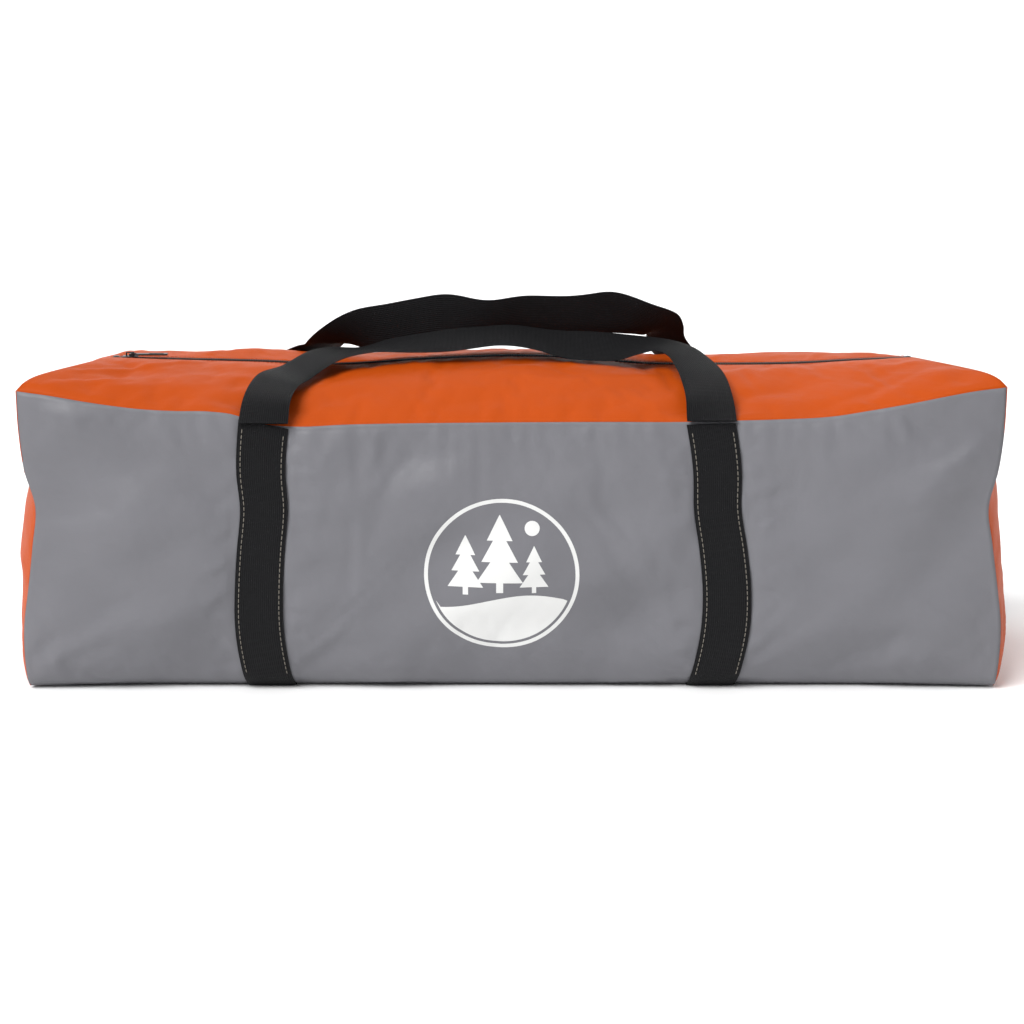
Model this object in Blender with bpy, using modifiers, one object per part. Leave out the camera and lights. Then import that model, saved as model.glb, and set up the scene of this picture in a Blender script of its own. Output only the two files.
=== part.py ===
"""Packed tunnel tent in its zipped carry bag.

A soft box bag with a grey body and orange top and ends. The top opens as two flaps
that meet at a coil zip. Webbing straps run under the bag and end in two free handle
loops. The rolled tent, its folded poles and the bag of pegs lie inside.
Metres. +X is right, -Y is the front, +Z is up, and the floor is at z = 0.
"""

from math import cos, pi, radians, sin

import bmesh
import bpy
import numpy as np
from mathutils import Vector

NAME = "packed_tunnel_tent"

# bag
HALF_LENGTH = 0.381     # middle to the ears at the top corners
SEAM_Y = 0.1125         # middle to the top seam
SEAM_Z = 0.2145         # height of the top seam between the straps
EAR_Z = 0.2380          # height of the front ears
REAR_EAR_Z = 0.2185     # height of the rear ears
FLOOR_Z = 0.00228       # underside of the bottom panel
FABRIC = 0.0010         # thickness of the bag's cloth
GAP = 0.0004            # clearance between neighbouring pieces
END_REACH = 0.389       # middle to the fullest part of the ends
END_DIP = 0.059         # how far the zip ends lie inside the ears

# top flaps and zip
LID_HALF = 0.262        # half length of the flaps
ZIP_Z = 0.2470          # top of the cloth beside the zip
ZIP_EDGE = 0.0075       # middle to the cloth's edge beside the zip
ZIP_LEVEL = ZIP_Z - 0.0018
ZIP_END = 0.3200        # half length of the whole zip
TAPE_EDGE = 0.0120
TAPE = 0.0008
COIL_R = 0.0014
COIL_Y = 0.0022
SLIDER_REST_X = -0.306
HINGE_Y = 0.1170        # flaps and handles turn about this line at the top seam
HINGE_Z = 0.2140

# webbing
WEB = 0.0380            # width
WEB_T = 0.0018          # thickness
STRAP_LEFT = ((0.0, -0.191), (0.30, -0.197), (0.60, -0.198), (1.0, -0.188))
STRAP_RIGHT = ((0.0, 0.153), (0.30, 0.163), (0.60, 0.168), (1.0, 0.157))

# contents
ROLL_BASE = 0.0062
POLE_R = 0.00475
FERRULE_R = 0.00530
POLE_LENGTH = 0.620
POLE_PITCH = 0.0118


# ---------------------------------------------------------------- helpers

def clear_scene():
    for item in list(bpy.data.objects):
        bpy.data.objects.remove(item, do_unlink=True)


def make_collections():
    main = bpy.data.collections.new(NAME)
    tools = bpy.data.collections.new(NAME + "_tools")
    bpy.context.scene.collection.children.link(main)
    bpy.context.scene.collection.children.link(tools)
    return main, tools


def material(name, colour, roughness, metallic=0.0):
    made = bpy.data.materials.new(name)
    made.use_nodes = True
    shader = made.node_tree.nodes["Principled BSDF"]
    shader.inputs["Base Color"].default_value = (*colour, 1.0)
    shader.inputs["Roughness"].default_value = roughness
    shader.inputs["Metallic"].default_value = metallic
    made.diffuse_color = (*colour, 1.0)
    return made


def smooth_values(keys, values, at):
    """Cubic curve through values at keys, read at the places in at."""
    keys = np.asarray(keys, float)
    values = np.asarray(values, float)
    slopes = np.gradient(values, keys, axis=0)
    at = np.clip(np.asarray(at, float), keys[0], keys[-1])
    cell = np.clip(np.searchsorted(keys, at, side="right") - 1, 0, len(keys) - 2)
    width = keys[cell + 1] - keys[cell]
    t = (at - keys[cell]) / width
    if values.ndim > 1:
        t = np.asarray(t)[..., None]
        width = np.asarray(width)[..., None]
    start = (2 * t**3 - 3 * t**2 + 1) * values[cell]
    start_slope = (t**3 - 2 * t**2 + t) * width * slopes[cell]
    end = (-2 * t**3 + 3 * t**2) * values[cell + 1]
    end_slope = (t**3 - t**2) * width * slopes[cell + 1]
    return start + start_slope + end + end_slope


def mesh_object(name, points, faces, look, home, origin=(0, 0, 0)):
    mesh = bpy.data.meshes.new(name)
    origin = np.asarray(origin, float)
    mesh.from_pydata([tuple(p - origin) for p in np.asarray(points, float)], [], faces)
    mesh.validate()
    mesh.materials.append(look)
    made = bpy.data.objects.new(name, mesh)
    made.location = origin
    home.objects.link(made)
    return made


def face_outwards(target):
    cage = bmesh.new()
    cage.from_mesh(target.data)
    bmesh.ops.recalc_face_normals(cage, faces=cage.faces)
    cage.to_mesh(target.data)
    cage.free()


def thicken(target, thickness, outward=False):
    step = target.modifiers.new("Thickness", "SOLIDIFY")
    step.thickness = thickness
    step.offset = 1.0 if outward else -1.0
    step.use_even_offset = False


def sheet(name, rows, thickness, look, home, origin=(0, 0, 0), outward=False):
    """Open surface through rows of points; its faces look along rows x columns."""
    rows = np.asarray(rows, float)
    down, across = rows.shape[:2]
    faces = []
    for i in range(down - 1):
        for j in range(across - 1):
            a = i * across + j
            faces.append((a, a + across, a + across + 1, a + 1))
    made = mesh_object(name, rows.reshape(-1, 3), faces, look, home, origin)
    thicken(made, thickness, outward)
    return made


def grid_normals(rows):
    down = np.gradient(rows, axis=0)
    across = np.gradient(rows, axis=1)
    normal = np.cross(down, across)
    return normal / np.linalg.norm(normal, axis=2, keepdims=True)


def loft_rings(name, rings, look, home, closed=False):
    """Closed body through rings of points, capped at both ends or joined in a loop."""
    rings = np.asarray(rings, float)
    count, size = rings.shape[:2]
    faces = []
    for i in range(count if closed else count - 1):
        below = i * size
        above = ((i + 1) % count) * size
        for j in range(size):
            k = (j + 1) % size
            faces.append((below + j, below + k, above + k, above + j))
    if not closed:
        faces.append(tuple(range(size - 1, -1, -1)))
        faces.append(tuple((count - 1) * size + j for j in range(size)))
    made = mesh_object(name, rings.reshape(-1, 3), faces, look, home)
    face_outwards(made)
    return made


def extruded_x(name, outline, x0, x1, look, home, origin=(0, 0, 0)):
    """Outline of (y, z) points, filled and drawn out from x0 to x1, as a mesh."""
    curve = bpy.data.curves.new(name, "CURVE")
    curve.dimensions = "2D"
    curve.fill_mode = "BOTH"
    curve.extrude = abs(x1 - x0) / 2
    path = curve.splines.new("POLY")
    path.points.add(len(outline) - 1)
    for point, (y, z) in zip(path.points, outline):
        point.co = (y - origin[1], z - origin[2], 0.0, 1.0)
    path.use_cyclic_u = True
    drawn = bpy.data.objects.new(name + "_outline", curve)
    home.objects.link(drawn)
    mesh = bpy.data.meshes.new_from_object(drawn.evaluated_get(
        bpy.context.evaluated_depsgraph_get()))
    bpy.data.objects.remove(drawn, do_unlink=True)
    # the curve lies in XY and is drawn out along Z: turn it to YZ and along X
    centre = (x0 + x1) / 2
    for corner in mesh.vertices:
        a, b, c = corner.co
        corner.co = (c + centre - origin[0], a, b)
    mesh.name = name
    mesh.materials.clear()
    mesh.materials.append(look)
    made = bpy.data.objects.new(name, mesh)
    made.location = origin
    home.objects.link(made)
    cage = bmesh.new()
    cage.from_mesh(mesh)
    bmesh.ops.remove_doubles(cage, verts=cage.verts, dist=0.00001)
    bmesh.ops.recalc_face_normals(cage, faces=cage.faces)
    cage.to_mesh(mesh)
    cage.free()
    return made


def block(name, low, high, look, home, origin=(0, 0, 0)):
    """Box between two corners."""
    cage = bmesh.new()
    bmesh.ops.create_cube(cage, size=1.0)
    low = Vector(low)
    high = Vector(high)
    for corner in cage.verts:
        for k in range(3):
            corner.co[k] = low[k] if corner.co[k] < 0 else high[k]
        corner.co -= Vector(origin)
    mesh = bpy.data.meshes.new(name)
    cage.to_mesh(mesh)
    cage.free()
    mesh.materials.append(look)
    made = bpy.data.objects.new(name, mesh)
    made.location = origin
    home.objects.link(made)
    return made


def use_tool(target, tool, action):
    tool.hide_render = True
    tool.display_type = "WIRE"
    step = target.modifiers.new(action.title(), "BOOLEAN")
    step.operation = action
    step.solver = "EXACT"
    step.object = tool


# ---------------------------------------------------------------- the bag's shape

def seam_height(x, ear=EAR_Z):
    """Height of a top seam: level between the straps, rising to its ears."""
    t = np.clip((np.abs(x) - 0.225) / (HALF_LENGTH - 0.225), 0, 1)
    return SEAM_Z + (ear - SEAM_Z) * t**1.15


def front_point(x, v, ear=EAR_Z):
    """Front panel's outside at length x, from its top seam (v = 0) to its hem (v = 1)."""
    top = float(seam_height(x, ear)) - 0.0022
    keys = (0.0, 0.14, 0.40, 0.66, 0.82, 0.93, 1.0)
    section = (
        (-SEAM_Y, top),
        (-0.1140, 0.190 + 0.5 * (top - SEAM_Z)),
        (-0.1165, 0.130),
        (-0.1160, 0.070),
        (-0.1135, 0.032),
        (-0.1060, 0.0105),
        (-0.0960, FLOOR_Z),
    )
    y, z = smooth_values(keys, section, v)
    z = max(z, FLOOR_Z)
    heights = (0.002, 0.020, 0.057, 0.081, 0.116, 0.148, 0.175, 0.207, 0.240)
    halves = (0.362, 0.3755, 0.378, 0.3745, 0.371, 0.368, 0.3755, 0.380, 0.381)
    half = float(smooth_values(heights, halves, z))
    corner = np.clip((abs(x) - 0.290) / (HALF_LENGTH - 0.290), 0, 1)
    y += 0.010 * corner**2 * (1 - v)
    return np.array((x * half / HALF_LENGTH, y, z))


def end_point(side, s, v):
    """End panel's outside from its front seam (s = 0) to its rear seam (s = 1)."""
    front = front_point(HALF_LENGTH, v)
    rear = front_point(HALF_LENGTH, v, REAR_EAR_Z)
    x, y, z = front + (rear - front) * s
    across = 1 - 2 * s
    dip = 1 - abs(across) ** 1.6
    puff = 1 - abs(across) ** 4
    x += (END_REACH - x) * puff * max(sin(pi * v), 0.0) ** 0.35
    x -= END_DIP * dip * (1 - v) ** 4
    z += (0.0108 + 0.5 * (EAR_Z - REAR_EAR_Z)) * dip * (1 - v) ** 2
    return np.array((side * x, y * across, z))


def top_height(x, y, ear=EAR_Z):
    """Outside of the top at length x and depth y."""
    seam = seam_height(x, ear)
    return seam + (ZIP_Z - seam) * (1 - (np.abs(y) / SEAM_Y) ** 2.4)


def mirrored(rows):
    """The same rows of points on the rear side, still facing outwards."""
    rows = np.array(rows, float)
    rows[:, :, 1] *= -1
    return rows[:, ::-1]


# ---------------------------------------------------------------- bag panels

FRONT_STEPS = (0.0, 0.07, 0.14, 0.26, 0.40, 0.54, 0.67, 0.76, 0.84, 0.90, 0.95, 1.0)


def front_rows(ear):
    lengths = np.linspace(-HALF_LENGTH, HALF_LENGTH, 29)
    rows = [[front_point(x, v, ear) for x in lengths] for v in FRONT_STEPS]
    return np.array(rows)


def make_body_panels(grey, orange, home):
    sheet("front_panel", front_rows(EAR_Z), FABRIC, grey, home)
    sheet("back_panel", mirrored(front_rows(REAR_EAR_Z)), FABRIC, grey, home)
    lengths = np.linspace(-0.3600, 0.3600, 9)
    depths = np.linspace(-0.0946, 0.0946, 3)
    base = [[(x, y, FLOOR_Z) for x in lengths] for y in depths]
    sheet("bottom_panel", base, FABRIC, grey, home)
    for side, word in ((-1, "left"), (1, "right")):
        across = 0.5 - 0.5 * np.linspace(-1, 1, 15)
        across = 0.014 + 0.972 * across
        downs = np.array((0.004, 0.05, 0.11, 0.19, 0.29, 0.40, 0.52, 0.64, 0.76, 0.86, 0.94, 0.985))
        grid = [[end_point(side, s, v) for s in across] for v in downs]
        grid = np.array(grid)
        if side < 0:
            grid = grid[:, ::-1]
        sheet("end_panel_" + word, grid, FABRIC, orange, home)


def gusset_rows(side, ear):
    """Corner of the top between flap, top seam, end seam and zip, drawn on the front side."""
    edge = 0.5 - 0.5 * ZIP_EDGE / SEAM_Y
    near = LID_HALF + GAP
    us = np.linspace(0.0, 0.992, 7)
    vs = np.linspace(0.0, 1.0, 8)

    def lid_side(v):
        y = -SEAM_Y + (SEAM_Y - ZIP_EDGE) * v
        return np.array((near, y, top_height(near, y, ear)))

    def end_side(v):
        s = 0.006 + (edge - 0.006) * v
        if ear == EAR_Z:
            return end_point(1, s, 0.0) + np.array((0, 0, 0.0016))
        lift = np.array((0, 0, 0.0016 + 0.0022 * v))
        return end_point(1, 1 - s, 0.0) * np.array((1, -1, 1)) + lift

    def seam_side(u):
        x = near + (HALF_LENGTH - near) * u
        y = front_point(x, 0.0, ear)[1]
        return np.array((x, y, seam_height(x, ear)))

    def zip_side(u):
        x = near + (end_side(1.0)[0] - near) * u
        return np.array((x, -ZIP_EDGE, top_height(near, ZIP_EDGE, ear)))

    corners = (seam_side(0.0), seam_side(1.0), zip_side(0.0), zip_side(1.0))
    rows = []
    for v in vs:
        row = []
        for u in us:
            point = (1 - v) * seam_side(u) + v * zip_side(u)
            point = point + (1 - u) * lid_side(v) + u * end_side(v)
            point = point - (1 - u) * ((1 - v) * corners[0] + v * corners[2])
            point = point - u * ((1 - v) * corners[1] + v * corners[3])
            point[0] *= side
            row.append(point)
        rows.append(row)
    rows = np.array(rows)
    rows = rows[::-1]
    if side < 0:
        rows = rows[:, ::-1]
    return rows


def make_gussets(orange, home):
    for side, word in ((-1, "left"), (1, "right")):
        sheet("top_corner_front_" + word, gusset_rows(side, EAR_Z), FABRIC, orange, home)
        sheet("top_corner_rear_" + word, mirrored(gusset_rows(side, REAR_EAR_Z)), FABRIC, orange,
              home)


def lid_rows(ear):
    lengths = np.linspace(-LID_HALF, LID_HALF, 15)
    depths = np.linspace(-ZIP_EDGE, -SEAM_Y, 10)
    rows = [[(x, y, float(top_height(x, y, ear))) for x in lengths] for y in depths]
    return np.array(rows)


def make_lids(orange, home):
    hinge = (0, -HINGE_Y, HINGE_Z)
    sheet("lid_front", lid_rows(EAR_Z), FABRIC, orange, home, hinge)
    hinge = (0, HINGE_Y, HINGE_Z)
    sheet("lid_rear", mirrored(lid_rows(REAR_EAR_Z)), FABRIC, orange, home, hinge)


# ---------------------------------------------------------------- zip

def zip_outline(sign):
    """Section of one zip half: flat tape with the round coil on its edge."""
    half = TAPE / 2
    start = TAPE_EDGE
    points = [(start, -half)]
    for k in range(9):
        turn = radians(-160 + 40 * k)
        points.append((COIL_Y - COIL_R * cos(turn), COIL_R * sin(turn)))
    points.append((start, half))
    return [(sign * y, ZIP_LEVEL + z) for y, z in points]


def make_zip(black, home, tools):
    reach = LID_HALF - GAP
    front = extruded_x("zip_half_front", zip_outline(-1), -reach, reach, black, home,
                       (0, -HINGE_Y, HINGE_Z))
    rear = extruded_x("zip_half_rear", zip_outline(1), -reach, reach, black, home,
                      (0, HINGE_Y, HINGE_Z))
    for side, word in ((-1, "left"), (1, "right")):
        near = side * (LID_HALF + GAP)
        far = side * (ZIP_END - 0.0015)
        name = "zip_end_" + word
        keep = extruded_x(name, zip_outline(-1), near, far, black, home)
        other = extruded_x(name + "_other", zip_outline(1), near, far, black, tools)
        low = (min(far, side * (ZIP_END - 0.006)), -0.0040, ZIP_LEVEL - 0.0010)
        high = (max(far, side * (ZIP_END - 0.006)), 0.0040, ZIP_LEVEL + 0.0010)
        stop = block(name + "_stop", low, high, black, tools)
        use_tool(keep, stop, "UNION")
        use_tool(keep, other, "UNION")
    return front, rear


def make_slider(metal, home, tools):
    x = SLIDER_REST_X
    under = ZIP_LEVEL - 0.0028
    over = ZIP_LEVEL + 0.0028
    origin = (x, 0, ZIP_LEVEL)
    body = block("zip_slider", (x - 0.006, -0.0045, over - 0.0010), (x + 0.006, 0.0045, over),
                 metal, home, origin)
    foot = block("slider_foot", (x - 0.006, -0.0045, under), (x + 0.006, 0.0045, under + 0.0010),
                 metal, tools)
    post = block("slider_post", (x - 0.0050, -0.00045, under + 0.0005),
                 (x + 0.0010, 0.00045, over - 0.0005), metal, tools)
    crown = block("slider_crown", (x - 0.0034, -0.0008, over - 0.0005),
                  (x + 0.0034, 0.0008, over + 0.0032), metal, tools)
    window = block("slider_window", (x - 0.0024, -0.0020, over + 0.0002),
                   (x + 0.0024, 0.0020, over + 0.0024), metal, tools)
    for tool in (foot, post, crown):
        use_tool(body, tool, "UNION")
    use_tool(body, window, "DIFFERENCE")
    return body


def make_pull(metal, home, tools):
    x = SLIDER_REST_X
    z = ZIP_LEVEL + 0.0028 + 0.0013
    origin = (x, 0, z)
    pull = block("zip_pull", (x - 0.0006, -0.0032, z - 0.0006), (x + 0.0300, 0.0032, z + 0.0006),
                 metal, home, origin)
    slot = block("pull_slot", (x + 0.0006, -0.0017, z - 0.0020), (x + 0.0050, 0.0017, z + 0.0020),
                 metal, tools)
    hole = block("pull_hole", (x + 0.0150, -0.0016, z - 0.0020), (x + 0.0270, 0.0016, z + 0.0020),
                 metal, tools)
    use_tool(pull, slot, "DIFFERENCE")
    use_tool(pull, hole, "DIFFERENCE")
    return pull


# ---------------------------------------------------------------- webbing

def strap_rows(course):
    """Sewn strap: down the front, under the bag and up the back, just off the cloth."""
    keys, lengths = zip(*course)
    front = []
    for v in (0.012,) + FRONT_STEPS[1:]:
        middle = float(smooth_values(keys, lengths, v))
        front.append([front_point(middle + k * WEB, v) for k in (-0.5, 0.5)])
    middle = lengths[-1]
    half = 0.362 / HALF_LENGTH
    base = [[((middle + k * WEB) * half, y, FLOOR_Z) for k in (-0.5, 0.5)]
            for y in (-0.088, 0.0, 0.088)]
    back = np.array(front)[::-1]
    back[:, :, 1] *= -1
    rows = np.concatenate((np.array(front), np.array(base), back))
    return rows + 1.2 * GAP * grid_normals(rows)


def make_straps(black, home):
    for word, course in (("left", STRAP_LEFT), ("right", STRAP_RIGHT)):
        sheet("strap_" + word, strap_rows(course), WEB_T, black, home, outward=True)


def handle_rows(places, turns):
    """Webbing loop: places are points on its middle, turns point across its width."""
    keys = np.concatenate(([0.0], np.cumsum(np.linalg.norm(np.diff(places, axis=0), axis=1))))
    at = np.linspace(0.0, keys[-1], 37)
    middles = smooth_values(keys, places, at)
    across = smooth_values(keys, turns, at)
    across = across / np.linalg.norm(across, axis=1, keepdims=True)
    left = middles - across * WEB / 2
    right = middles + across * WEB / 2
    return np.stack((left, right), axis=1)


FRONT_HANDLE = (
    # place of the webbing's middle, then the direction across it
    ((-0.1905, -0.1168, 0.2158), (1.00, 0.00, 0.00)),
    ((-0.1880, -0.1060, 0.2335), (0.97, -0.20, -0.05)),
    ((-0.1780, -0.0780, 0.2470), (0.85, -0.50, -0.15)),
    ((-0.1560, -0.0480, 0.2560), (0.55, -0.75, -0.35)),
    ((-0.1200, -0.0240, 0.2605), (0.20, -0.88, -0.42)),
    ((-0.0600, -0.0140, 0.2620), (0.00, -0.90, -0.43)),
    ((0.0200, -0.0140, 0.2620), (0.00, -0.90, -0.43)),
    ((0.0720, -0.0180, 0.2640), (-0.12, -0.80, -0.58)),
    ((0.1120, -0.0360, 0.2620), (-0.45, -0.65, -0.58)),
    ((0.1400, -0.0660, 0.2545), (-0.80, -0.40, -0.35)),
    ((0.1520, -0.0980, 0.2400), (-0.97, -0.20, -0.05)),
    ((0.1530, -0.1168, 0.2158), (-1.00, 0.00, 0.00)),
)

REAR_HANDLE = (
    ((-0.1905, 0.1168, 0.2158), (1.00, 0.00, 0.00)),
    ((-0.1860, 0.1010, 0.2330), (0.96, 0.25, -0.05)),
    ((-0.1720, 0.0750, 0.2440), (0.90, 0.42, -0.10)),
    ((-0.1560, 0.0520, 0.2520), (0.84, 0.52, -0.12)),
    ((-0.1490, 0.0340, 0.2580), (0.76, 0.60, -0.20)),
    ((-0.1400, 0.0220, 0.2650), (0.60, 0.58, -0.52)),
    ((-0.1180, 0.0180, 0.2700), (0.30, 0.26, -0.91)),
    ((-0.0800, 0.0180, 0.2730), (0.00, 0.20, -0.98)),
    ((-0.0300, 0.0170, 0.2760), (0.00, 0.30, -0.95)),
    ((0.0300, 0.0165, 0.2765), (0.00, 0.35, -0.94)),
    ((0.0800, 0.0165, 0.2765), (0.00, 0.40, -0.92)),
    ((0.1060, 0.0190, 0.2755), (-0.30, 0.56, -0.77)),
    ((0.1220, 0.0300, 0.2680), (-0.70, 0.56, -0.44)),
    ((0.1255, 0.0500, 0.2570), (-0.80, 0.57, -0.18)),
    ((0.1320, 0.0720, 0.2460), (-0.87, 0.46, -0.12)),
    ((0.1460, 0.0990, 0.2330), (-0.95, 0.28, -0.05)),
    ((0.1530, 0.1168, 0.2158), (-1.00, 0.00, 0.00)),
)


def make_handles(black, home):
    for name, course, side in (("handle_front", FRONT_HANDLE, -1), ("handle_rear", REAR_HANDLE, 1)):
        places, turns = zip(*course)
        rows = handle_rows(np.array(places), np.array(turns, float))
        origin = (0, side * HINGE_Y, HINGE_Z)
        made = sheet(name, rows, WEB_T, black, home, origin)
        made.modifiers["Thickness"].offset = 0.0


# ---------------------------------------------------------------- contents

def squashed_ring(x, centre, halves, power, count=28):
    """Ring in the YZ plane, between an ellipse and a box."""
    points = []
    for k in range(count):
        turn = 2 * pi * k / count
        c = cos(turn)
        s = sin(turn)
        y = centre[0] + halves[0] * abs(c) ** (2 / power) * (1 if c >= 0 else -1)
        z = centre[1] + halves[1] * abs(s) ** (2 / power) * (1 if s >= 0 else -1)
        points.append((x, y, z))
    return points


def make_roll(name, centre, halves, reach, look, home):
    rings = []
    for x, scale in ((-reach, 0.86), (-reach + 0.006, 0.95), (-reach + 0.020, 1.0),
                     (reach - 0.020, 1.0), (reach - 0.006, 0.95), (reach, 0.86)):
        size = (halves[0] * scale, halves[1] * scale)
        rings.append(squashed_ring(x, centre, size, 2.6))
    return loft_rings(name, rings, look, home)


def make_band(name, x0, x1, centre, halves, power, thickness, look, home):
    """Flat band around something squashed, its inside clear of it."""
    inner = (halves[0] + GAP, halves[1] + GAP)
    outer = (inner[0] + thickness, inner[1] + thickness)
    a = squashed_ring(x0, centre, inner, power)
    b = squashed_ring(x0, centre, outer, power)
    c = squashed_ring(x1, centre, outer, power)
    d = squashed_ring(x1, centre, inner, power)
    rings = [list(four) for four in zip(a, b, c, d)]
    return loft_rings(name, rings, look, home, closed=True)


def make_rolls(fly, inner, band, home):
    fly_half = (0.0530, 0.0820)
    fly_centre = (-0.0455, ROLL_BASE + fly_half[1])
    make_roll("flysheet_roll", fly_centre, fly_half, 0.335, fly, home)
    inner_half = (0.0400, 0.0770)
    inner_centre = (0.0590, ROLL_BASE + inner_half[1])
    make_roll("inner_tent_roll", inner_centre, inner_half, 0.315, inner, home)
    for word, x in (("left", -0.170), ("right", 0.150)):
        make_band("flysheet_tie_" + word, x, x + 0.025, fly_centre, fly_half, 2.6, 0.0014,
                  band, home)
        make_band("inner_tent_tie_" + word, x + 0.010, x + 0.035, inner_centre, inner_half,
                  2.6, 0.0014, band, home)


def make_pole(name, x, y, z, look, home):
    """One pole section along X: tube, wider ferrule sleeve, and its spigot."""
    half = POLE_LENGTH / 2
    profile = (
        (0.0, -half),
        (POLE_R, -half),
        (POLE_R, half - 0.090),
        (FERRULE_R, half - 0.089),
        (FERRULE_R, half - 0.030),
        (POLE_R - 0.0012, half - 0.030),
        (POLE_R - 0.0012, half - 0.002),
        (POLE_R - 0.0025, half),
        (0.0, half),
    )
    mesh = bpy.data.meshes.new(name)
    mesh.from_pydata([(along, r, 0.0) for r, along in profile],
                     [(k, k + 1) for k in range(len(profile) - 1)], [])
    mesh.materials.append(look)
    pole = bpy.data.objects.new(name, mesh)
    pole.location = (x, y, z)
    home.objects.link(pole)
    turn = pole.modifiers.new("Turned", "SCREW")
    turn.axis = "X"
    turn.steps = 10
    turn.render_steps = 10
    turn.use_merge_vertices = True
    turn.merge_threshold = 0.00001
    turn.use_normal_calculate = True
    turn.use_normal_flip = True
    return pole


def make_poles(look, band, home):
    bundles = (("a", -0.0600, 0.1945, -0.004), ("b", -0.0130, 0.1950, 0.006),
               ("c", 0.0370, 0.1890, 0.000))
    for word, y, z, shift in bundles:
        low = z - 0.0052
        high = z + 0.0052
        spots = ((-POLE_PITCH, low), (0.0, low), (POLE_PITCH, low),
                 (-POLE_PITCH / 2, high), (POLE_PITCH / 2, high))
        for k, (dy, height) in enumerate(spots):
            x = shift + (0.005 if k % 2 else -0.005)
            make_pole("pole_%s_%d" % (word, k + 1), x, y + dy, height, look, home)
        make_band("pole_tie_" + word, shift - 0.010, shift + 0.010, (y, z), (0.0205, 0.0138),
                  2.5, 0.0012, band, home)


def make_peg_bag(look, home):
    """Flat pouch of pegs lying on the poles."""
    stations = ((0.105, 0.20), (0.112, 0.55), (0.130, 0.88), (0.165, 1.0), (0.215, 1.0),
                (0.255, 0.86), (0.268, 0.52), (0.274, 0.30), (0.290, 0.42))
    rings = []
    for x, scale in stations:
        tall = 0.0135 * min(1.0, 0.25 + 0.75 * scale)
        rings.append(squashed_ring(x, (-0.012, 0.2255), (0.043 * scale, tall), 2.2, 20))
    loft_rings("peg_bag", rings, look, home)


# ---------------------------------------------------------------- assembly

def build():
    clear_scene()
    home, tools = make_collections()
    grey = material("grey_polyester", (0.225, 0.225, 0.240), 0.80)
    orange = material("orange_polyester", (0.740, 0.110, 0.012), 0.75)
    webbing = material("black_webbing", (0.012, 0.012, 0.013), 0.85)
    zip_black = material("zip_nylon", (0.015, 0.015, 0.016), 0.50)
    zinc = material("black_zinc", (0.030, 0.030, 0.032), 0.40, 0.9)
    fly = material("flysheet_cloth", (0.700, 0.105, 0.015), 0.65)
    inner = material("inner_tent_cloth", (0.560, 0.540, 0.500), 0.80)
    band = material("tie_band", (0.020, 0.020, 0.022), 0.80)
    fibreglass = material("pole_fibreglass", (0.050, 0.052, 0.058), 0.35)
    pouch = material("peg_bag_cloth", (0.180, 0.180, 0.195), 0.80)
    make_body_panels(grey, orange, home)
    make_gussets(orange, home)
    make_lids(orange, home)
    make_zip(zip_black, home, tools)
    make_slider(zinc, home, tools)
    make_pull(zinc, home, tools)
    make_straps(webbing, home)
    make_handles(webbing, home)
    make_rolls(fly, inner, band, home)
    make_poles(fibreglass, band, home)
    make_peg_bag(pouch, home)


build()
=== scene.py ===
from math import cos, pi, radians, sin

import bmesh
import bpy
import numpy as np
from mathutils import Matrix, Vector
from mathutils.bvhtree import BVHTree


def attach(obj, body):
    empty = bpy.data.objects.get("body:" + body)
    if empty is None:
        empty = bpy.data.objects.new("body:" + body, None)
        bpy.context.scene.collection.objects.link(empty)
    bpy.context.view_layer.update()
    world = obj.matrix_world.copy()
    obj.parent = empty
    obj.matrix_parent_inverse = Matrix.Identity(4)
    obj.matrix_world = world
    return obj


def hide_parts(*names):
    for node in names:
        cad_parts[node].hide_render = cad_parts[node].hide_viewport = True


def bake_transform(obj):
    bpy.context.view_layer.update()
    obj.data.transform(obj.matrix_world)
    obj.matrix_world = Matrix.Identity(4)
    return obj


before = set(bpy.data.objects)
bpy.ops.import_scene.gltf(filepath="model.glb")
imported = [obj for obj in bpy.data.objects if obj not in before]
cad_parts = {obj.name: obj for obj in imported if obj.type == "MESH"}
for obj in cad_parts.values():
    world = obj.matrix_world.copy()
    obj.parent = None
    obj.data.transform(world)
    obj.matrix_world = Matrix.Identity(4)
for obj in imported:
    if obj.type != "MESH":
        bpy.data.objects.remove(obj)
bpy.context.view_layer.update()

# ------------------------------------------------------------------ sizes, metres
HL = 0.381              # middle to the ears
SEAM_Y = 0.1125         # middle to the top seams
FLOOR = 0.0023          # underside of the cloth
END_REACH = 0.389       # middle to the fullest part of the ends
END_DIP = 0.059         # how far the zip ends lie inside the ears
ZIP_HALF = 0.3215
ZIP_EDGE = 0.0060       # middle to the cloth's edge beside the zip
WEB = 0.038
WEB_T = 0.0017
CELL = 0.0064           # spacing of the cloth's mesh
STRAP_ROOTS = (-0.193, 0.153)   # middles of the straps at the top seams


# ------------------------------------------------------------------ helpers
def smooth_values(keys, values, at):
    """Cubic curve through values at keys, read at the places in at."""
    keys = np.asarray(keys, float)
    values = np.asarray(values, float)
    slopes = np.gradient(values, keys, axis=0)
    at = np.clip(np.asarray(at, float), keys[0], keys[-1])
    cell = np.clip(np.searchsorted(keys, at, side="right") - 1, 0, len(keys) - 2)
    width = keys[cell + 1] - keys[cell]
    t = (at - keys[cell]) / width
    extra = (1,) * (values.ndim - 1)
    t = t.reshape(t.shape + extra)
    width = width.reshape(width.shape + extra)
    return ((2 * t**3 - 3 * t**2 + 1) * values[cell] + (t**3 - 2 * t**2 + t) * width * slopes[cell]
            + (-2 * t**3 + 3 * t**2) * values[cell + 1] + (t**3 - t**2) * width * slopes[cell + 1])


def step(a, b, x):
    t = np.clip((np.asarray(x, float) - a) / (b - a), 0, 1)
    return t * t * (3 - 2 * t)


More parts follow.
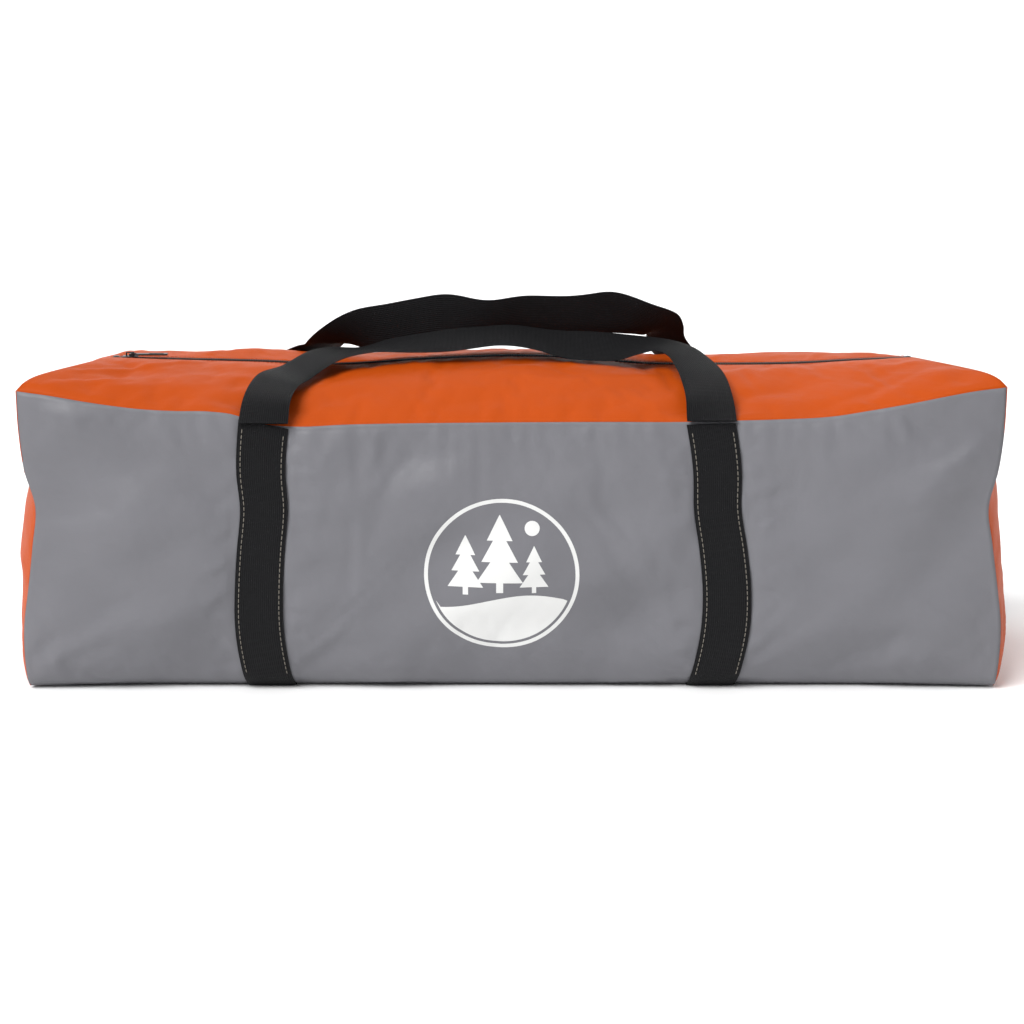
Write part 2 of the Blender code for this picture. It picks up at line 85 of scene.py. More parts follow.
def waves(x, y, scale, seed):
    """Smooth unevenness between about -1 and 1: a few crossed waves of unlike lengths."""
    made = np.random.RandomState(seed)
    total = 0.0
    for _ in range(7):
        angle = made.uniform(0, pi)
        length = scale * made.uniform(0.6, 1.7)
        phase = made.uniform(0, 2 * pi)
        total = total + np.sin(2 * pi * (x * cos(angle) + y * sin(angle)) / length + phase)
    return total / 3.2


def linked(name, mesh):
    """Object of a mesh, in the scene."""
    made = bpy.data.objects.new(name, mesh)
    bpy.context.scene.collection.objects.link(made)
    return made


def grid_faces(down, across, base=0):
    return [(base + i * across + j, base + (i + 1) * across + j,
             base + (i + 1) * across + j + 1, base + i * across + j + 1)
            for i in range(down - 1) for j in range(across - 1)]


def grid_object(name, points, uv=None, looks=()):
    """Mesh through a grid of points, rows by columns, with UVs in metres."""
    points = np.asarray(points, float)
    mesh = bpy.data.meshes.new(name)
    mesh.from_pydata([tuple(p) for p in points.reshape(-1, 3)], [], grid_faces(*points.shape[:2]))
    if uv is not None:
        put_uv(mesh, np.asarray(uv, float).reshape(-1, 2))
    for look in looks:
        mesh.materials.append(look)
    made = linked(name, mesh)
    smooth(made)
    return made


def face_outwards(mesh):
    cage = bmesh.new()
    cage.from_mesh(mesh)
    bmesh.ops.recalc_face_normals(cage, faces=cage.faces)
    cage.to_mesh(mesh)
    cage.free()


def put_uv(mesh, flat):
    layer = mesh.uv_layers.new(name="UVMap")
    index = np.zeros(len(mesh.loops), int)
    mesh.loops.foreach_get("vertex_index", index)
    layer.data.foreach_set("uv", np.asarray(flat, np.float32)[index].ravel())


def smooth(made):
    made.data.polygons.foreach_set("use_smooth", np.ones(len(made.data.polygons), bool))
    made.data.update()


def arc_uv(points):
    """UVs of a grid: length along each row and each column, averaged."""
    points = np.asarray(points, float)
    du = np.linalg.norm(np.diff(points, axis=1), axis=2).mean(0)
    dv = np.linalg.norm(np.diff(points, axis=0), axis=2).mean(1)
    u = np.concatenate(([0], np.cumsum(du)))
    v = np.concatenate(([0], np.cumsum(dv)))
    return np.stack(np.meshgrid(u, v), axis=2)


def add_modifier(made, kind, name, **values):
    modifier = made.modifiers.new(name, kind)
    for key, value in values.items():
        setattr(modifier, key, value)
    return modifier


def apply_all(made):
    """Turns a mesh's modifiers into mesh."""
    bpy.context.view_layer.update()
    made_mesh = bpy.data.meshes.new_from_object(
        made.evaluated_get(bpy.context.evaluated_depsgraph_get()))
    made.modifiers.clear()
    made.data = made_mesh
    return made


def grid_normals(points):
    down = np.gradient(points, axis=0)
    across = np.gradient(points, axis=1)
    normal = np.cross(down, across)
    return normal / np.maximum(np.linalg.norm(normal, axis=2, keepdims=True), 1e-12)


# ------------------------------------------------------------------ materials
def new_material(name, colour, roughness, metallic=0.0):
    made = bpy.data.materials.new(name)
    made.use_nodes = True
    shader = made.node_tree.nodes["Principled BSDF"]
    shader.inputs["Base Color"].default_value = (*colour, 1)
    shader.inputs["Roughness"].default_value = roughness
    shader.inputs["Metallic"].default_value = metallic
    return made, made.node_tree.nodes, made.node_tree.links, shader


def noise_node(nodes, links, vector, scale, detail=3.0, rough=0.5):
    node = nodes.new("ShaderNodeTexNoise")
    node.inputs["Scale"].default_value = scale
    node.inputs["Detail"].default_value = detail
    node.inputs["Roughness"].default_value = rough
    links.new(vector, node.inputs["Vector"])
    return node.outputs["Fac"]


def math_node(nodes, links, kind, a, b=None):
    node = nodes.new("ShaderNodeMath")
    node.operation = kind
    for k, value in enumerate((a, b)):
        if value is None:
            continue
        if isinstance(value, (int, float)):
            node.inputs[k].default_value = value
        else:
            links.new(value, node.inputs[k])
    return node.outputs[0]


def ramp_node(nodes, links, factor, low, high):
    """Colour between low and high, each (place, colour)."""
    node = nodes.new("ShaderNodeValToRGB")
    first, last = node.color_ramp.elements
    first.position = low[0]
    first.color = (*low[1], 1)
    last.position = high[0]
    last.color = (*high[1], 1)
    links.new(factor, node.inputs["Fac"])
    return node.outputs["Color"]


def woven(name, colour, roughness, pitch=0.00055, sheen=0.25, change=0.06, bump=0.25,
          ripstop=0.0, micro=0.35, gloss=0.35):
    """Plain woven polyester: thread grid in the bump, soft changes of tone, light sheen."""
    made, nodes, links, shader = new_material(name, colour, roughness)
    uv = nodes.new("ShaderNodeUVMap")
    uv.uv_map = "UVMap"
    split = nodes.new("ShaderNodeSeparateXYZ")
    links.new(uv.outputs["UV"], split.inputs[0])
    turn = 2 * pi / pitch
    warp = math_node(nodes, links, "SINE", math_node(nodes, links, "MULTIPLY", split.outputs["X"], turn))
    weft = math_node(nodes, links, "SINE", math_node(nodes, links, "MULTIPLY", split.outputs["Y"], turn))
    weave = math_node(nodes, links, "MULTIPLY", warp, weft)
    fine = noise_node(nodes, links, uv.outputs["UV"], 900.0, 2.0)
    height = math_node(nodes, links, "ADD", math_node(nodes, links, "MULTIPLY", weave, 0.5), fine)
    if ripstop:
        grid = []
        for side in ("X", "Y"):
            place = math_node(nodes, links, "MULTIPLY", split.outputs[side], 1 / ripstop)
            part = math_node(nodes, links, "FRACT", place)
            grid.append(math_node(nodes, links, "LESS_THAN", part, 0.10))
        line = math_node(nodes, links, "MAXIMUM", grid[0], grid[1])
        height = math_node(nodes, links, "ADD", height, math_node(nodes, links, "MULTIPLY", line, 1.5))
    first = nodes.new("ShaderNodeBump")
    first.inputs["Strength"].default_value = bump
    first.inputs["Distance"].default_value = 0.00012
    links.new(height, first.inputs["Height"])
    crease = noise_node(nodes, links, uv.outputs["UV"], 38.0, 5.0, 0.55)
    second = nodes.new("ShaderNodeBump")
    second.inputs["Strength"].default_value = micro
    second.inputs["Distance"].default_value = 0.0022
    links.new(crease, second.inputs["Height"])
    links.new(first.outputs["Normal"], second.inputs["Normal"])
    links.new(second.outputs["Normal"], shader.inputs["Normal"])
    tone = noise_node(nodes, links, uv.outputs["UV"], 9.0, 4.0)
    dark = tuple(c * (1 - change) for c in colour)
    light = tuple(min(1.0, c * (1 + change)) for c in colour)
    links.new(ramp_node(nodes, links, tone, (0.3, dark), (0.7, light)), shader.inputs["Base Color"])
    shader.inputs["Sheen Weight"].default_value = sheen
    shader.inputs["Sheen Roughness"].default_value = 0.45
    shader.inputs["Specular IOR Level"].default_value = gloss
    return made


def webbing_material(name, colour=(0.0042, 0.0042, 0.0048)):
    """Ribbed polypropylene webbing: staggered weft ribs across, three bands along."""
    made, nodes, links, shader = new_material(name, colour, 0.62)
    uv = nodes.new("ShaderNodeUVMap")
    uv.uv_map = "UVMap"
    split = nodes.new("ShaderNodeSeparateXYZ")
    links.new(uv.outputs["UV"], split.inputs[0])
    along = math_node(nodes, links, "MULTIPLY", split.outputs["Y"], 2 * pi / 0.0021)
    across = math_node(nodes, links, "MULTIPLY", split.outputs["X"], 1 / 0.0016)
    odd = math_node(nodes, links, "MODULO", math_node(nodes, links, "FLOOR", across), 2.0)
    shift = math_node(nodes, links, "MULTIPLY", odd, pi)
    rib = math_node(nodes, links, "SINE", math_node(nodes, links, "ADD", along, shift))
    wale = math_node(nodes, links, "SINE", math_node(nodes, links, "MULTIPLY", split.outputs["X"],
                                                      2 * pi / 0.0016))
    height = math_node(nodes, links, "ADD", math_node(nodes, links, "ABSOLUTE", rib),
                       math_node(nodes, links, "MULTIPLY", wale, 0.45))
    fuzz = noise_node(nodes, links, uv.outputs["UV"], 1500.0, 2.0)
    height = math_node(nodes, links, "ADD", height, math_node(nodes, links, "MULTIPLY", fuzz, 0.6))
    bump = nodes.new("ShaderNodeBump")
    bump.inputs["Strength"].default_value = 0.9
    bump.inputs["Distance"].default_value = 0.0005
    links.new(height, bump.inputs["Height"])
    links.new(bump.outputs["Normal"], shader.inputs["Normal"])
    # Painted shade and highlight: the colour follows the rib height, darker in the grooves and lighter on
    # the rib tops, standing in for the shade and light that the ribs catch.
    light = tuple(c * 2.1 for c in colour)
    dark = tuple(c * 0.55 for c in colour)
    links.new(ramp_node(nodes, links, height, (0.2, dark), (1.5, light)), shader.inputs["Base Color"])
    shader.inputs["Specular IOR Level"].default_value = 0.16
    return made


def plain(name, colour, roughness, metallic=0.0, grain=0.0, grain_scale=400.0):
    made, nodes, links, shader = new_material(name, colour, roughness, metallic)
    if grain:
        place = nodes.new("ShaderNodeTexCoord")
        fac = noise_node(nodes, links, place.outputs["Object"], grain_scale, 3.0)
        bump = nodes.new("ShaderNodeBump")
        bump.inputs["Strength"].default_value = grain
        bump.inputs["Distance"].default_value = 0.0004
        links.new(fac, bump.inputs["Height"])
        links.new(bump.outputs["Normal"], shader.inputs["Normal"])
    return made


# ------------------------------------------------------------------ the bag's shape
# heights of the front top seam along the bag: pulled up outside the left strap
SEAM_X = (-0.3810, -0.3540, -0.3280, -0.3070, -0.2860, -0.2590, -0.2310, -0.2150, -0.1950, -0.1710,
          -0.1250, -0.0200, 0.0760, 0.1330, 0.1710, 0.2070, 0.2490, 0.2740, 0.3080, 0.3340, 0.3550,
          0.3810)
SEAM_H = (0.2370, 0.2340, 0.2300, 0.2270, 0.2245, 0.2230, 0.2225, 0.2205, 0.2135, 0.2110, 0.2125,
          0.2140, 0.2145, 0.2145, 0.2155, 0.2165, 0.2190, 0.2230, 0.2290, 0.2340, 0.2375, 0.2400)
REAR_X = (-0.381, -0.330, -0.280, -0.225, -0.100, 0.100, 0.225, 0.280, 0.330, 0.381)
REAR_H = (0.2180, 0.2170, 0.2160, 0.2145, 0.2130, 0.2130, 0.2145, 0.2160, 0.2170, 0.2180)
ZIP_X = (-0.3215, -0.270, -0.197, -0.149, -0.060, 0.0, 0.060, 0.104, 0.165, 0.226, 0.275, 0.3215)
ZIP_H = (0.2470, 0.2458, 0.2440, 0.2418, 0.2465, 0.2485, 0.2465, 0.2425, 0.2418, 0.2425, 0.2450, 0.2468)
EDGE_Z = (0.002, 0.020, 0.057, 0.081, 0.116, 0.148, 0.175, 0.207, 0.240)
EDGE_LEFT = (0.3785, 0.3800, 0.3795, 0.3760, 0.3715, 0.3685, 0.3760, 0.3800, 0.3815)
EDGE_RIGHT = (0.3785, 0.3800, 0.3805, 0.3775, 0.3725, 0.3685, 0.3750, 0.3790, 0.3805)
STRAP_KEYS = (0.0, 0.30, 0.60, 1.0)
STRAPS = {"left": (-0.1905, -0.1970, -0.1985, -0.1900), "right": (0.1530, 0.1630, 0.1680, 0.1570)}


def side_surface(x, v, rear=False):
    """Outside of the front (or rear) at lengths x and steps v, seam 0 to hem 1: rows by columns."""
    x = np.atleast_1d(x).astype(float)
    v = np.atleast_1d(v).astype(float)
    top = smooth_values(REAR_X, REAR_H, x) if rear else smooth_values(SEAM_X, SEAM_H, x)
    corner = np.clip((np.abs(x) - 0.255) / (HL - 0.255), 0, 1) ** 2
    keys = (0.0, 0.14, 0.40, 0.66, 0.82, 0.93, 1.0)
    zero = np.zeros_like(x)
    section = np.stack([
        np.stack([-SEAM_Y + zero, top], 1),
        np.stack([-0.1148 + zero, 0.190 + 0.5 * (top - 0.2145)], 1),
        np.stack([-0.1190 + 0.0033 * corner, 0.130 + zero], 1),
        np.stack([-0.1180 + 0.0028 * corner, 0.070 + zero], 1),
        np.stack([-0.1130 - 0.0010 * corner, 0.033 - 0.004 * corner], 1),
        np.stack([-0.1045 - 0.0050 * corner, 0.0115 - 0.004 * corner], 1),
        np.stack([-0.0930 - 0.0110 * corner, FLOOR + zero], 1),
    ])
    found = smooth_values(keys, section, v)
    y = found[..., 0]
    z = np.maximum(found[..., 1], FLOOR)
    near_end = np.clip((np.abs(x) - 0.300) / (HL - 0.300), 0, 1) ** 2
    y = y + 0.0085 * near_end[None, :] * (1 - 0.6 * v[:, None])
    half = np.where(x[None, :] < 0, smooth_values(EDGE_Z, EDGE_LEFT, z),
                    smooth_values(EDGE_Z, EDGE_RIGHT, z))
    across = x[None, :] * half / HL
    if rear:
        y = -y
    return np.stack([across, y, z], axis=2)


def end_surface(side, s, v):
    """Outside of an end at places s (front seam 0 to rear seam 1) and v (top 0 to hem 1)."""
    s = np.atleast_1d(s).astype(float)
    v = np.atleast_1d(v).astype(float)
    front = side_surface(side * HL, v)[:, 0][:, None, :]
    rear = side_surface(side * HL, v, rear=True)[:, 0][:, None, :]
    s = s[None, :]
    v = v[:, None]
    base = front * (1 - s)[..., None] + rear * s[..., None]
    across = 1 - 2 * s
    dip = 1 - np.abs(across) ** 1.6
    puff = 1 - np.abs(across) ** 4
    x = np.abs(base[..., 0])
    x = x + (END_REACH - x) * puff * np.maximum(np.sin(pi * v), 0) ** 0.35
    x = x - END_DIP * dip * (1 - v) ** 4
    rise = 1 - np.abs(across) ** 14
    crown = 0.0150 if side < 0 else 0.0132
    z = base[..., 2] + (0.0085 * rise * (1 - 0.85 * s) + crown * dip) * (1 - v) ** 2
    z = np.maximum(z, FLOOR)
    return np.stack([side * x, base[..., 1], z], axis=2)


def top_surface(x, t, rear=False):
    """Outside of the top from the seam (t 0) to the cloth's edge at the zip (t 1)."""
    x = np.atleast_1d(x).astype(float)
    t = np.atleast_1d(t).astype(float)
    seam = side_surface(x, [0.0], rear)[0][None]
    sign = 1 if rear else -1
    zip_x = x * ZIP_HALF / HL
    edge = np.stack([zip_x, sign * ZIP_EDGE + 0 * x, smooth_values(ZIP_X, ZIP_H, zip_x)], 1)[None]
    tt = t[:, None]
    shape = 1 - (1 - tt) ** 2.4
    flat = seam * (1 - tt[..., None]) + edge * tt[..., None]
    z = seam[..., 2] * (1 - shape) + edge[..., 2] * shape
    if rear:
        z = z + 0.0045 * np.sin(pi * tt) * (tt > 0) * np.exp(-((np.abs(x)[None] - 0.22) / 0.10) ** 2)
    for middle in (-0.196, 0.153):
        near = np.exp(-((flat[..., 0] - middle) / 0.028) ** 2)
        root = np.exp(-((np.abs(flat[..., 1]) - 0.098) / 0.017) ** 2)
        z = z - 0.0065 * near * root * np.minimum(6 * tt, 1)
    points = np.stack([flat[..., 0], flat[..., 1], z], axis=2)
    for side in (-1, 1):
        column = 0 if side < 0 else -1
        depth = points[:, column, 1]
        end = depth[0]
        places = (1 - depth / end) / 2
        if rear:
            places = 1 - places
        wanted = end_surface(side, places, [0.0])[0]
        gap = wanted - points[:, column]
        weight = np.clip((side * x - (HL - 0.130)) / 0.130, 0, 1) ** 2
        points = points + gap[:, None, :] * weight[None, :, None]
    return points


def strap_middle(word, v):
    return smooth_values(STRAP_KEYS, STRAPS[word], v)


# ------------------------------------------------------------------ the cloth body
def body_grids():
    """Grids of the bag's panels, sharing their edge points."""
    columns = 2 * int(round(HL / CELL)) + 1
    x = np.linspace(-HL, HL, columns)
    v = np.linspace(0, 1, 37)
    t = np.linspace(0, 1, 20)
    grids = {}
    grids["front_panel"] = side_surface(x, v)
    grids["back_panel"] = side_surface(x, v, rear=True)[:, ::-1]
    hem_front = grids["front_panel"][-1]
    hem_rear = side_surface(x, [1.0], rear=True)[0]
    r = np.linspace(0, 1, 40)[:, None, None]
    grids["bottom_panel"] = hem_front[None] * (1 - r) + hem_rear[None] * r
    top = top_surface(x, t)
    grids["top_front"] = top[::-1]
    top_rear = top_surface(x, t, rear=True)
    grids["top_rear"] = top_rear[::-1, ::-1]
    for side, word in ((-1, "left"), (1, "right")):
        column = 0 if side < 0 else -1
        depth_front = top[:, column, 1]
        depth_rear = top_rear[:, column, 1]
        places = np.concatenate(((1 - depth_front / depth_front[0]) / 2,
                                 1 - ((1 - depth_rear / depth_rear[0]) / 2)[::-1]))
        grid = end_surface(side, places, v)
        line = np.linspace(0, 1, 40)
        mix = v[:, None]
        even = end_surface(side, line, v)
        grid = grid * (1 - mix[..., None]) + even * mix[..., None]
        grid[-1] = hem_front[column] * (1 - line[:, None]) + hem_rear[column] * line[:, None]
        grid[:, 0] = grids["front_panel"][:, column]
        grid[:, -1] = side_surface(x, v, rear=True)[:, column]
        if side < 0:
            grid = grid[:, ::-1]
        grids["end_panel_" + word] = grid
    return x, v, t, grids


PANELS = ("front_panel", "back_panel", "bottom_panel", "top_front", "top_rear", "end_panel_left",
          "end_panel_right")


def seam_distance(grid):
    """Distance along the cloth from each grid point to the nearest sewn edge."""
    down, across = grid.shape[:2]
    along = np.concatenate((np.zeros((down, 1)),
                            np.cumsum(np.linalg.norm(np.diff(grid, axis=1), axis=2), axis=1)), axis=1)
    drop = np.concatenate((np.zeros((1, across)),
                           np.cumsum(np.linalg.norm(np.diff(grid, axis=0), axis=2), axis=0)), axis=0)
    near = np.minimum(along, along[:, -1:] - along)
    near = np.minimum(near, np.minimum(drop, drop[-1:] - drop))
    return near, drop, along


def cloth_body(run):
    """One mesh of all panels, settled as full cloth between its seams."""
    x, v, t, grids = body_grids()
    points = []
    faces = []
    pins = []
    loose = []
    uvs = {}
    start = {}
    for name in PANELS:
        grid = grids[name]
        down, across = grid.shape[:2]
        base = len(points)
        start[name] = base
        near = seam_distance(grid)[0]
        pin = near < 1e-6
        give = np.exp(-near / 0.012)
        if name == "bottom_panel":
            pin = np.ones_like(pin)
        if name in ("front_panel", "back_panel"):
            steps = np.broadcast_to(v[:, None], (down, across))
            lengths = np.broadcast_to((x if name == "front_panel" else x[::-1])[None], (down, across))
            for word in STRAPS:
                gap = np.abs(lengths - strap_middle(word, steps))
                pin = pin | (gap < WEB / 2 + 0.001)
                give = np.maximum(give, 0.8 * np.exp(-np.maximum(gap - WEB / 2, 0) / 0.010))
            pin = pin | (steps > 0.97)
        if name in ("top_front", "top_rear"):
            for middle in STRAP_ROOTS:
                pin = pin | ((np.abs(grid[..., 0] - middle) < 0.021) & (np.abs(grid[..., 1]) > 0.080))
        points.extend(grid.reshape(-1, 3))
        pins.extend(pin.ravel())
        loose.extend(give.ravel())
        uvs[name] = arc_uv(grid)
        faces.extend(grid_faces(down, across, base))
    # weld the shared edges, remembering which merged point each grid point became
    cells = {}
    remap = np.zeros(len(points), int)
    kept = []
    for i, p in enumerate(points):
        key = tuple(np.round(p, 5))
        if key not in cells:
            cells[key] = len(kept)
            kept.append(i)
        remap[i] = cells[key]
    points = np.array(points)[kept]
    merged_pins = np.zeros(len(kept), bool)
    merged_loose = np.zeros(len(kept))
    for i, k in enumerate(remap):
        merged_pins[k] |= pins[i]
        merged_loose[k] = max(merged_loose[k], loose[i])
    merged_faces = []
    for face in faces:
        corners = [remap[c] for c in face]
        clean = [c for n, c in enumerate(corners) if c != corners[n - 1]]
        merged_faces.append(clean)
    mesh = bpy.data.meshes.new("cloth_body")
    mesh.from_pydata([tuple(p) for p in points], [], merged_faces)
    body = linked("cloth_body", mesh)
    body_points = settle(body, merged_pins, merged_loose) if run else points
    bpy.data.objects.remove(body, do_unlink=True)
    settled = {}
    for name in PANELS:
        down, across = grids[name].shape[:2]
        index = remap[start[name]:start[name] + down * across]
        settled[name] = body_points[index].reshape(down, across, 3)
    return x, v, t, grids, settled, uvs


def settle(body, pins, loose):
    """Lets slightly generous cloth bulge and pucker between its pinned seams."""
    group = body.vertex_groups.new(name="pin")
    group.add([int(i) for i in np.nonzero(pins)[0]], 1.0, "REPLACE")
    extra = body.vertex_groups.new(name="extra")
    for level in range(1, 11):
        chosen = np.nonzero(np.round(loose * 10) == level)[0]
        extra.add([int(i) for i in chosen], level / 10, "REPLACE")
    cloth = body.modifiers.new("Cloth", "CLOTH")
    settings = cloth.settings
    settings.quality = 4
    settings.mass = 0.12
    settings.air_damping = 3.0
    settings.tension_stiffness = 25
    settings.compression_stiffness = 25
    settings.shear_stiffness = 12
    settings.bending_stiffness = 0.18
    settings.tension_damping = 12
    settings.compression_damping = 12
    settings.bending_damping = 0.8
    settings.vertex_group_mass = "pin"
    settings.pin_stiffness = 1.0
    settings.vertex_group_shrink = "extra"
    settings.shrink_min = -0.0030
    settings.shrink_max = -0.030
    settings.use_pressure = True
    settings.uniform_pressure_force = 2.2
    settings.use_pressure_volume = False
    settings.effector_weights.gravity = 0.0
    cloth.collision_settings.use_collision = False
    cloth.collision_settings.use_self_collision = False
    scene = bpy.context.scene
    last = 18
    cloth.point_cache.frame_start = 1
    cloth.point_cache.frame_end = last
    scene.frame_start = 1
    scene.frame_end = last
    for number in range(1, last + 1):
        scene.frame_set(number)
    found = body.evaluated_get(bpy.context.evaluated_depsgraph_get())
    co = np.zeros(len(found.data.vertices) * 3)
    found.data.vertices.foreach_get("co", co)
    scene.frame_set(1)
    return co.reshape(-1, 3)


def refine(grid):
    """Grid of half the spacing through the same surface."""
    for axis in (0, 1):
        g = np.moveaxis(grid, axis, 0)
        n = g.shape[0]
        at = np.linspace(0, n - 1, 2 * n - 1)
        g = smooth_values(np.arange(n), g, at)
        grid = np.moveaxis(g, 0, axis)
    return grid


def fold_field(along, drop, folds):
    """Heights of soft folds: each runs from one place to another, with its width and height."""
    total = np.zeros_like(along)
    for x0, d0, x1, d1, width, height in folds:
        run = np.array((x1 - x0, d1 - d0))
        length = np.linalg.norm(run)
        run = run / length
        t = (along - x0) * run[0] + (drop - d0) * run[1]
        off = (along - x0) * run[1] - (drop - d0) * run[0]
        off = off + 0.10 * width * np.sin(t / width)
        taper = step(-0.25 * length, 0.3 * length, t) * (1 - step(0.55 * length, 1.2 * length, t))
        total += height * taper * np.exp(-(off / width) ** 2)
    return total


def chosen_folds(name, length, height):
    """Where each panel creases: pulls under its seams, beside the webbing and from its corners."""
    made = np.random.RandomState(sum(ord(c) for c in name))
    folds = []
    tall = name in ("front_panel", "back_panel")
    place = 0.02
    while place < length - 0.02:
        reach = made.uniform(0.012, 0.040)
        lean = made.uniform(-0.35, 0.35)
        folds.append((place, 0.0, place + lean * reach, reach, made.uniform(0.0035, 0.0065),
                      made.uniform(-0.0014, 0.0018)))
        if name != "bottom_panel":
            low = made.uniform(0.008, 0.026)
            folds.append((place + 0.005, height, place + 0.005 + lean * low, height - low,
                          made.uniform(0.003, 0.006), made.uniform(-0.0007, 0.0009)))
        place += made.uniform(0.009, 0.026)
    for end, turn in ((0.0, 1), (length, -1)):
        for _ in range(5):
            start = made.uniform(0.004, 0.05)
            reach = made.uniform(0.05, 0.11)
            folds.append((end + turn * 0.008, height - start, end + turn * (0.01 + reach),
                          height - start - reach * made.uniform(0.3, 1.1),
                          made.uniform(0.004, 0.009), made.uniform(-0.0012, 0.0016)))
            start = made.uniform(0.004, 0.06)
            folds.append((end + turn * 0.006, start, end + turn * (0.01 + reach),
                          start + reach * made.uniform(0.1, 0.8),
                          made.uniform(0.005, 0.011), made.uniform(-0.0010, 0.0014)))
    if tall:
        for word in STRAPS:
            for edge, turn in ((-WEB / 2, -1), (WEB / 2, 1)):
                down = 0.02
                while down < height - 0.01:
                    middle = float(strap_middle(word, down / height)) + edge
                    start = length / 2 + (middle if name == "front_panel" else -middle)
                    side = turn if name == "front_panel" else -turn
                    reach = made.uniform(0.010, 0.034)
                    folds.append((start, down, start + side * reach, down + reach * made.uniform(-0.5, 0.7),
                                  made.uniform(0.0028, 0.0055), made.uniform(-0.0015, 0.0018)))
                    down += made.uniform(0.010, 0.024)
        for _ in range(14):
            x0 = made.uniform(0.05, length - 0.05)
            d0 = made.uniform(0.03, height - 0.05)
            reach = made.uniform(0.05, 0.13)
            angle = made.uniform(0.1, 1.4) * made.choice((-1, 1))
            folds.append((x0, d0, x0 + reach * cos(angle), d0 + reach * sin(angle),
                          made.uniform(0.008, 0.018), made.uniform(-0.0024, 0.0024)))
    else:
        for _ in range(12):
            x0 = made.uniform(0.03, length - 0.03)
            d0 = made.uniform(0.01, height - 0.02)
            reach = made.uniform(0.04, 0.10)
            angle = made.uniform(-0.7, 0.7)
            folds.append((x0, d0, x0 + reach * cos(angle), d0 + reach * sin(angle),
                          made.uniform(0.006, 0.012), made.uniform(-0.0012, 0.0012)))
    return folds


def strap_gap(name, grid, along):
    """Distance from a long panel's points to the nearest sewn strap's edge."""
    if name not in ("front_panel", "back_panel"):
        return np.full(along.shape, 1.0)
    steps = np.linspace(0, 1, grid.shape[0])
    gap = np.full(along.shape, 1.0)
    for word in STRAPS:
        gap = np.minimum(gap, np.abs(grid[..., 0] - strap_middle(word, steps)[:, None] * 0.985))
    return gap - WEB / 2


def finish_panel(name, grid, uv, look):
    """Fine surface with sunken seams, puckers, pulls and soft unevenness."""
    kind = name.replace("_cloth", "")
    fine = refine(grid)
    fine_uv = refine(np.concatenate((uv, np.zeros(uv.shape[:2] + (1,))), axis=2))[..., :2]
    normal = grid_normals(fine)
    near, drop, along = seam_distance(fine)
    near = np.minimum(near, np.maximum(strap_gap(kind, fine, along), 0))
    if kind == "bottom_panel":
        depth = np.zeros_like(near)
    else:
        height = float(drop[-1].mean())
        length = float(along[:, -1].mean())
        inside = 1 - np.exp(-near / 0.004)
        depth = fold_field(along, drop, chosen_folds(kind, length, height)) * inside
        broad = 0.0044 if kind in ("front_panel", "back_panel") else 0.0020
        depth = depth + broad * waves(along, drop * 1.3, 0.125, 5) * (1 - np.exp(-near / 0.030))
        depth = depth + 0.00045 * waves(along, drop, 0.038, 8) * (1 - np.exp(-near / 0.012))
        depth = depth - 0.0009 * np.exp(-(near / 0.0030) ** 2) * (near > 1e-9)
    if kind in ("top_front", "top_rear"):
        zip_edge = np.exp(-(drop / 0.012) ** 2)
        depth = depth * (1 - zip_edge)
    fine = fine + normal * depth[..., None]
    made = grid_object(name, fine, fine_uv, (look,))
    return made, fine


# ------------------------------------------------------------------ webbing
def ribbon(name, left, right, look, outward=None):
    """Webbing between two edge lines: closed strip with soft rolled edges."""
    left = np.asarray(left, float)
    right = np.asarray(right, float)
    n = len(left)
    u = np.linspace(0, 1, 9)
    mid = left[:, None] * (1 - u)[None, :, None] + right[:, None] * u[None, :, None]
    normal = grid_normals(mid)
    if outward is not None:
        sign = np.sign((normal * outward[:, None]).sum(2, keepdims=True))
        normal = normal * sign
    thin = WEB_T / 2 * (1 - 0.75 * np.abs(2 * u - 1) ** 8)
    upper = mid + normal * thin[None, :, None]
    lower = mid - normal * thin[None, :, None]
    ring = np.concatenate((upper, lower[:, ::-1]), axis=1)
    length = np.concatenate(([0], np.cumsum(np.linalg.norm(np.diff(mid.mean(1), axis=0), axis=1))))
    width = np.linalg.norm(right - left, axis=1).mean()
    around = np.concatenate((u * width, width * 1.06 + (1 - u[::-1]) * width))
    size = ring.shape[1]
    faces = []
    for i in range(n - 1):
        for j in range(size):
            k = (j + 1) % size
            faces.append((i * size + j, i * size + k, (i + 1) * size + k, (i + 1) * size + j))
    faces.append(tuple(range(size - 1, -1, -1)))
    faces.append(tuple((n - 1) * size + j for j in range(size)))
    mesh = bpy.data.meshes.new(name)
    mesh.from_pydata([tuple(p) for p in ring.reshape(-1, 3)], [], faces)
    flat = np.stack(np.broadcast_arrays(around[None, :], length[:, None]), axis=2).reshape(-1, 2)
    put_uv(mesh, flat)
    mesh.materials.append(look)
    face_outwards(mesh)
    made = linked(name, mesh)
    smooth(made)
    mesh.set_sharp_from_angle(angle=radians(60))
    return made


def sewn_edges(word):
    """Edge lines of a strap: down the front, under, and up the back, lying on the cloth."""
    v = np.concatenate((np.linspace(0.012, 0.80, 90), np.linspace(0.81, 1.0, 30)))
    middle = strap_middle(word, v)
    lines = []
    for k in (-0.5, 0.5):
        front = np.array([side_surface(m + k * WEB, [w])[0, 0] for m, w in zip(middle, v)])
        rear = np.array([side_surface(m + k * WEB, [w], rear=True)[0, 0] for m, w in zip(middle, v)])[::-1]
        base = front[-1] + (rear[0] - front[-1]) * np.linspace(0, 1, 24)[1:-1, None]
        lines.append(np.concatenate((front, base, rear)))
    left, right = lines
    mid = (left + right) / 2
    along = np.gradient(mid, axis=0)
    out = np.cross(along, right - left)
    out /= np.linalg.norm(out, axis=1, keepdims=True)
    lift = WEB_T / 2 + 0.0005
    return left + out * lift, right + out * lift, out, len(v)


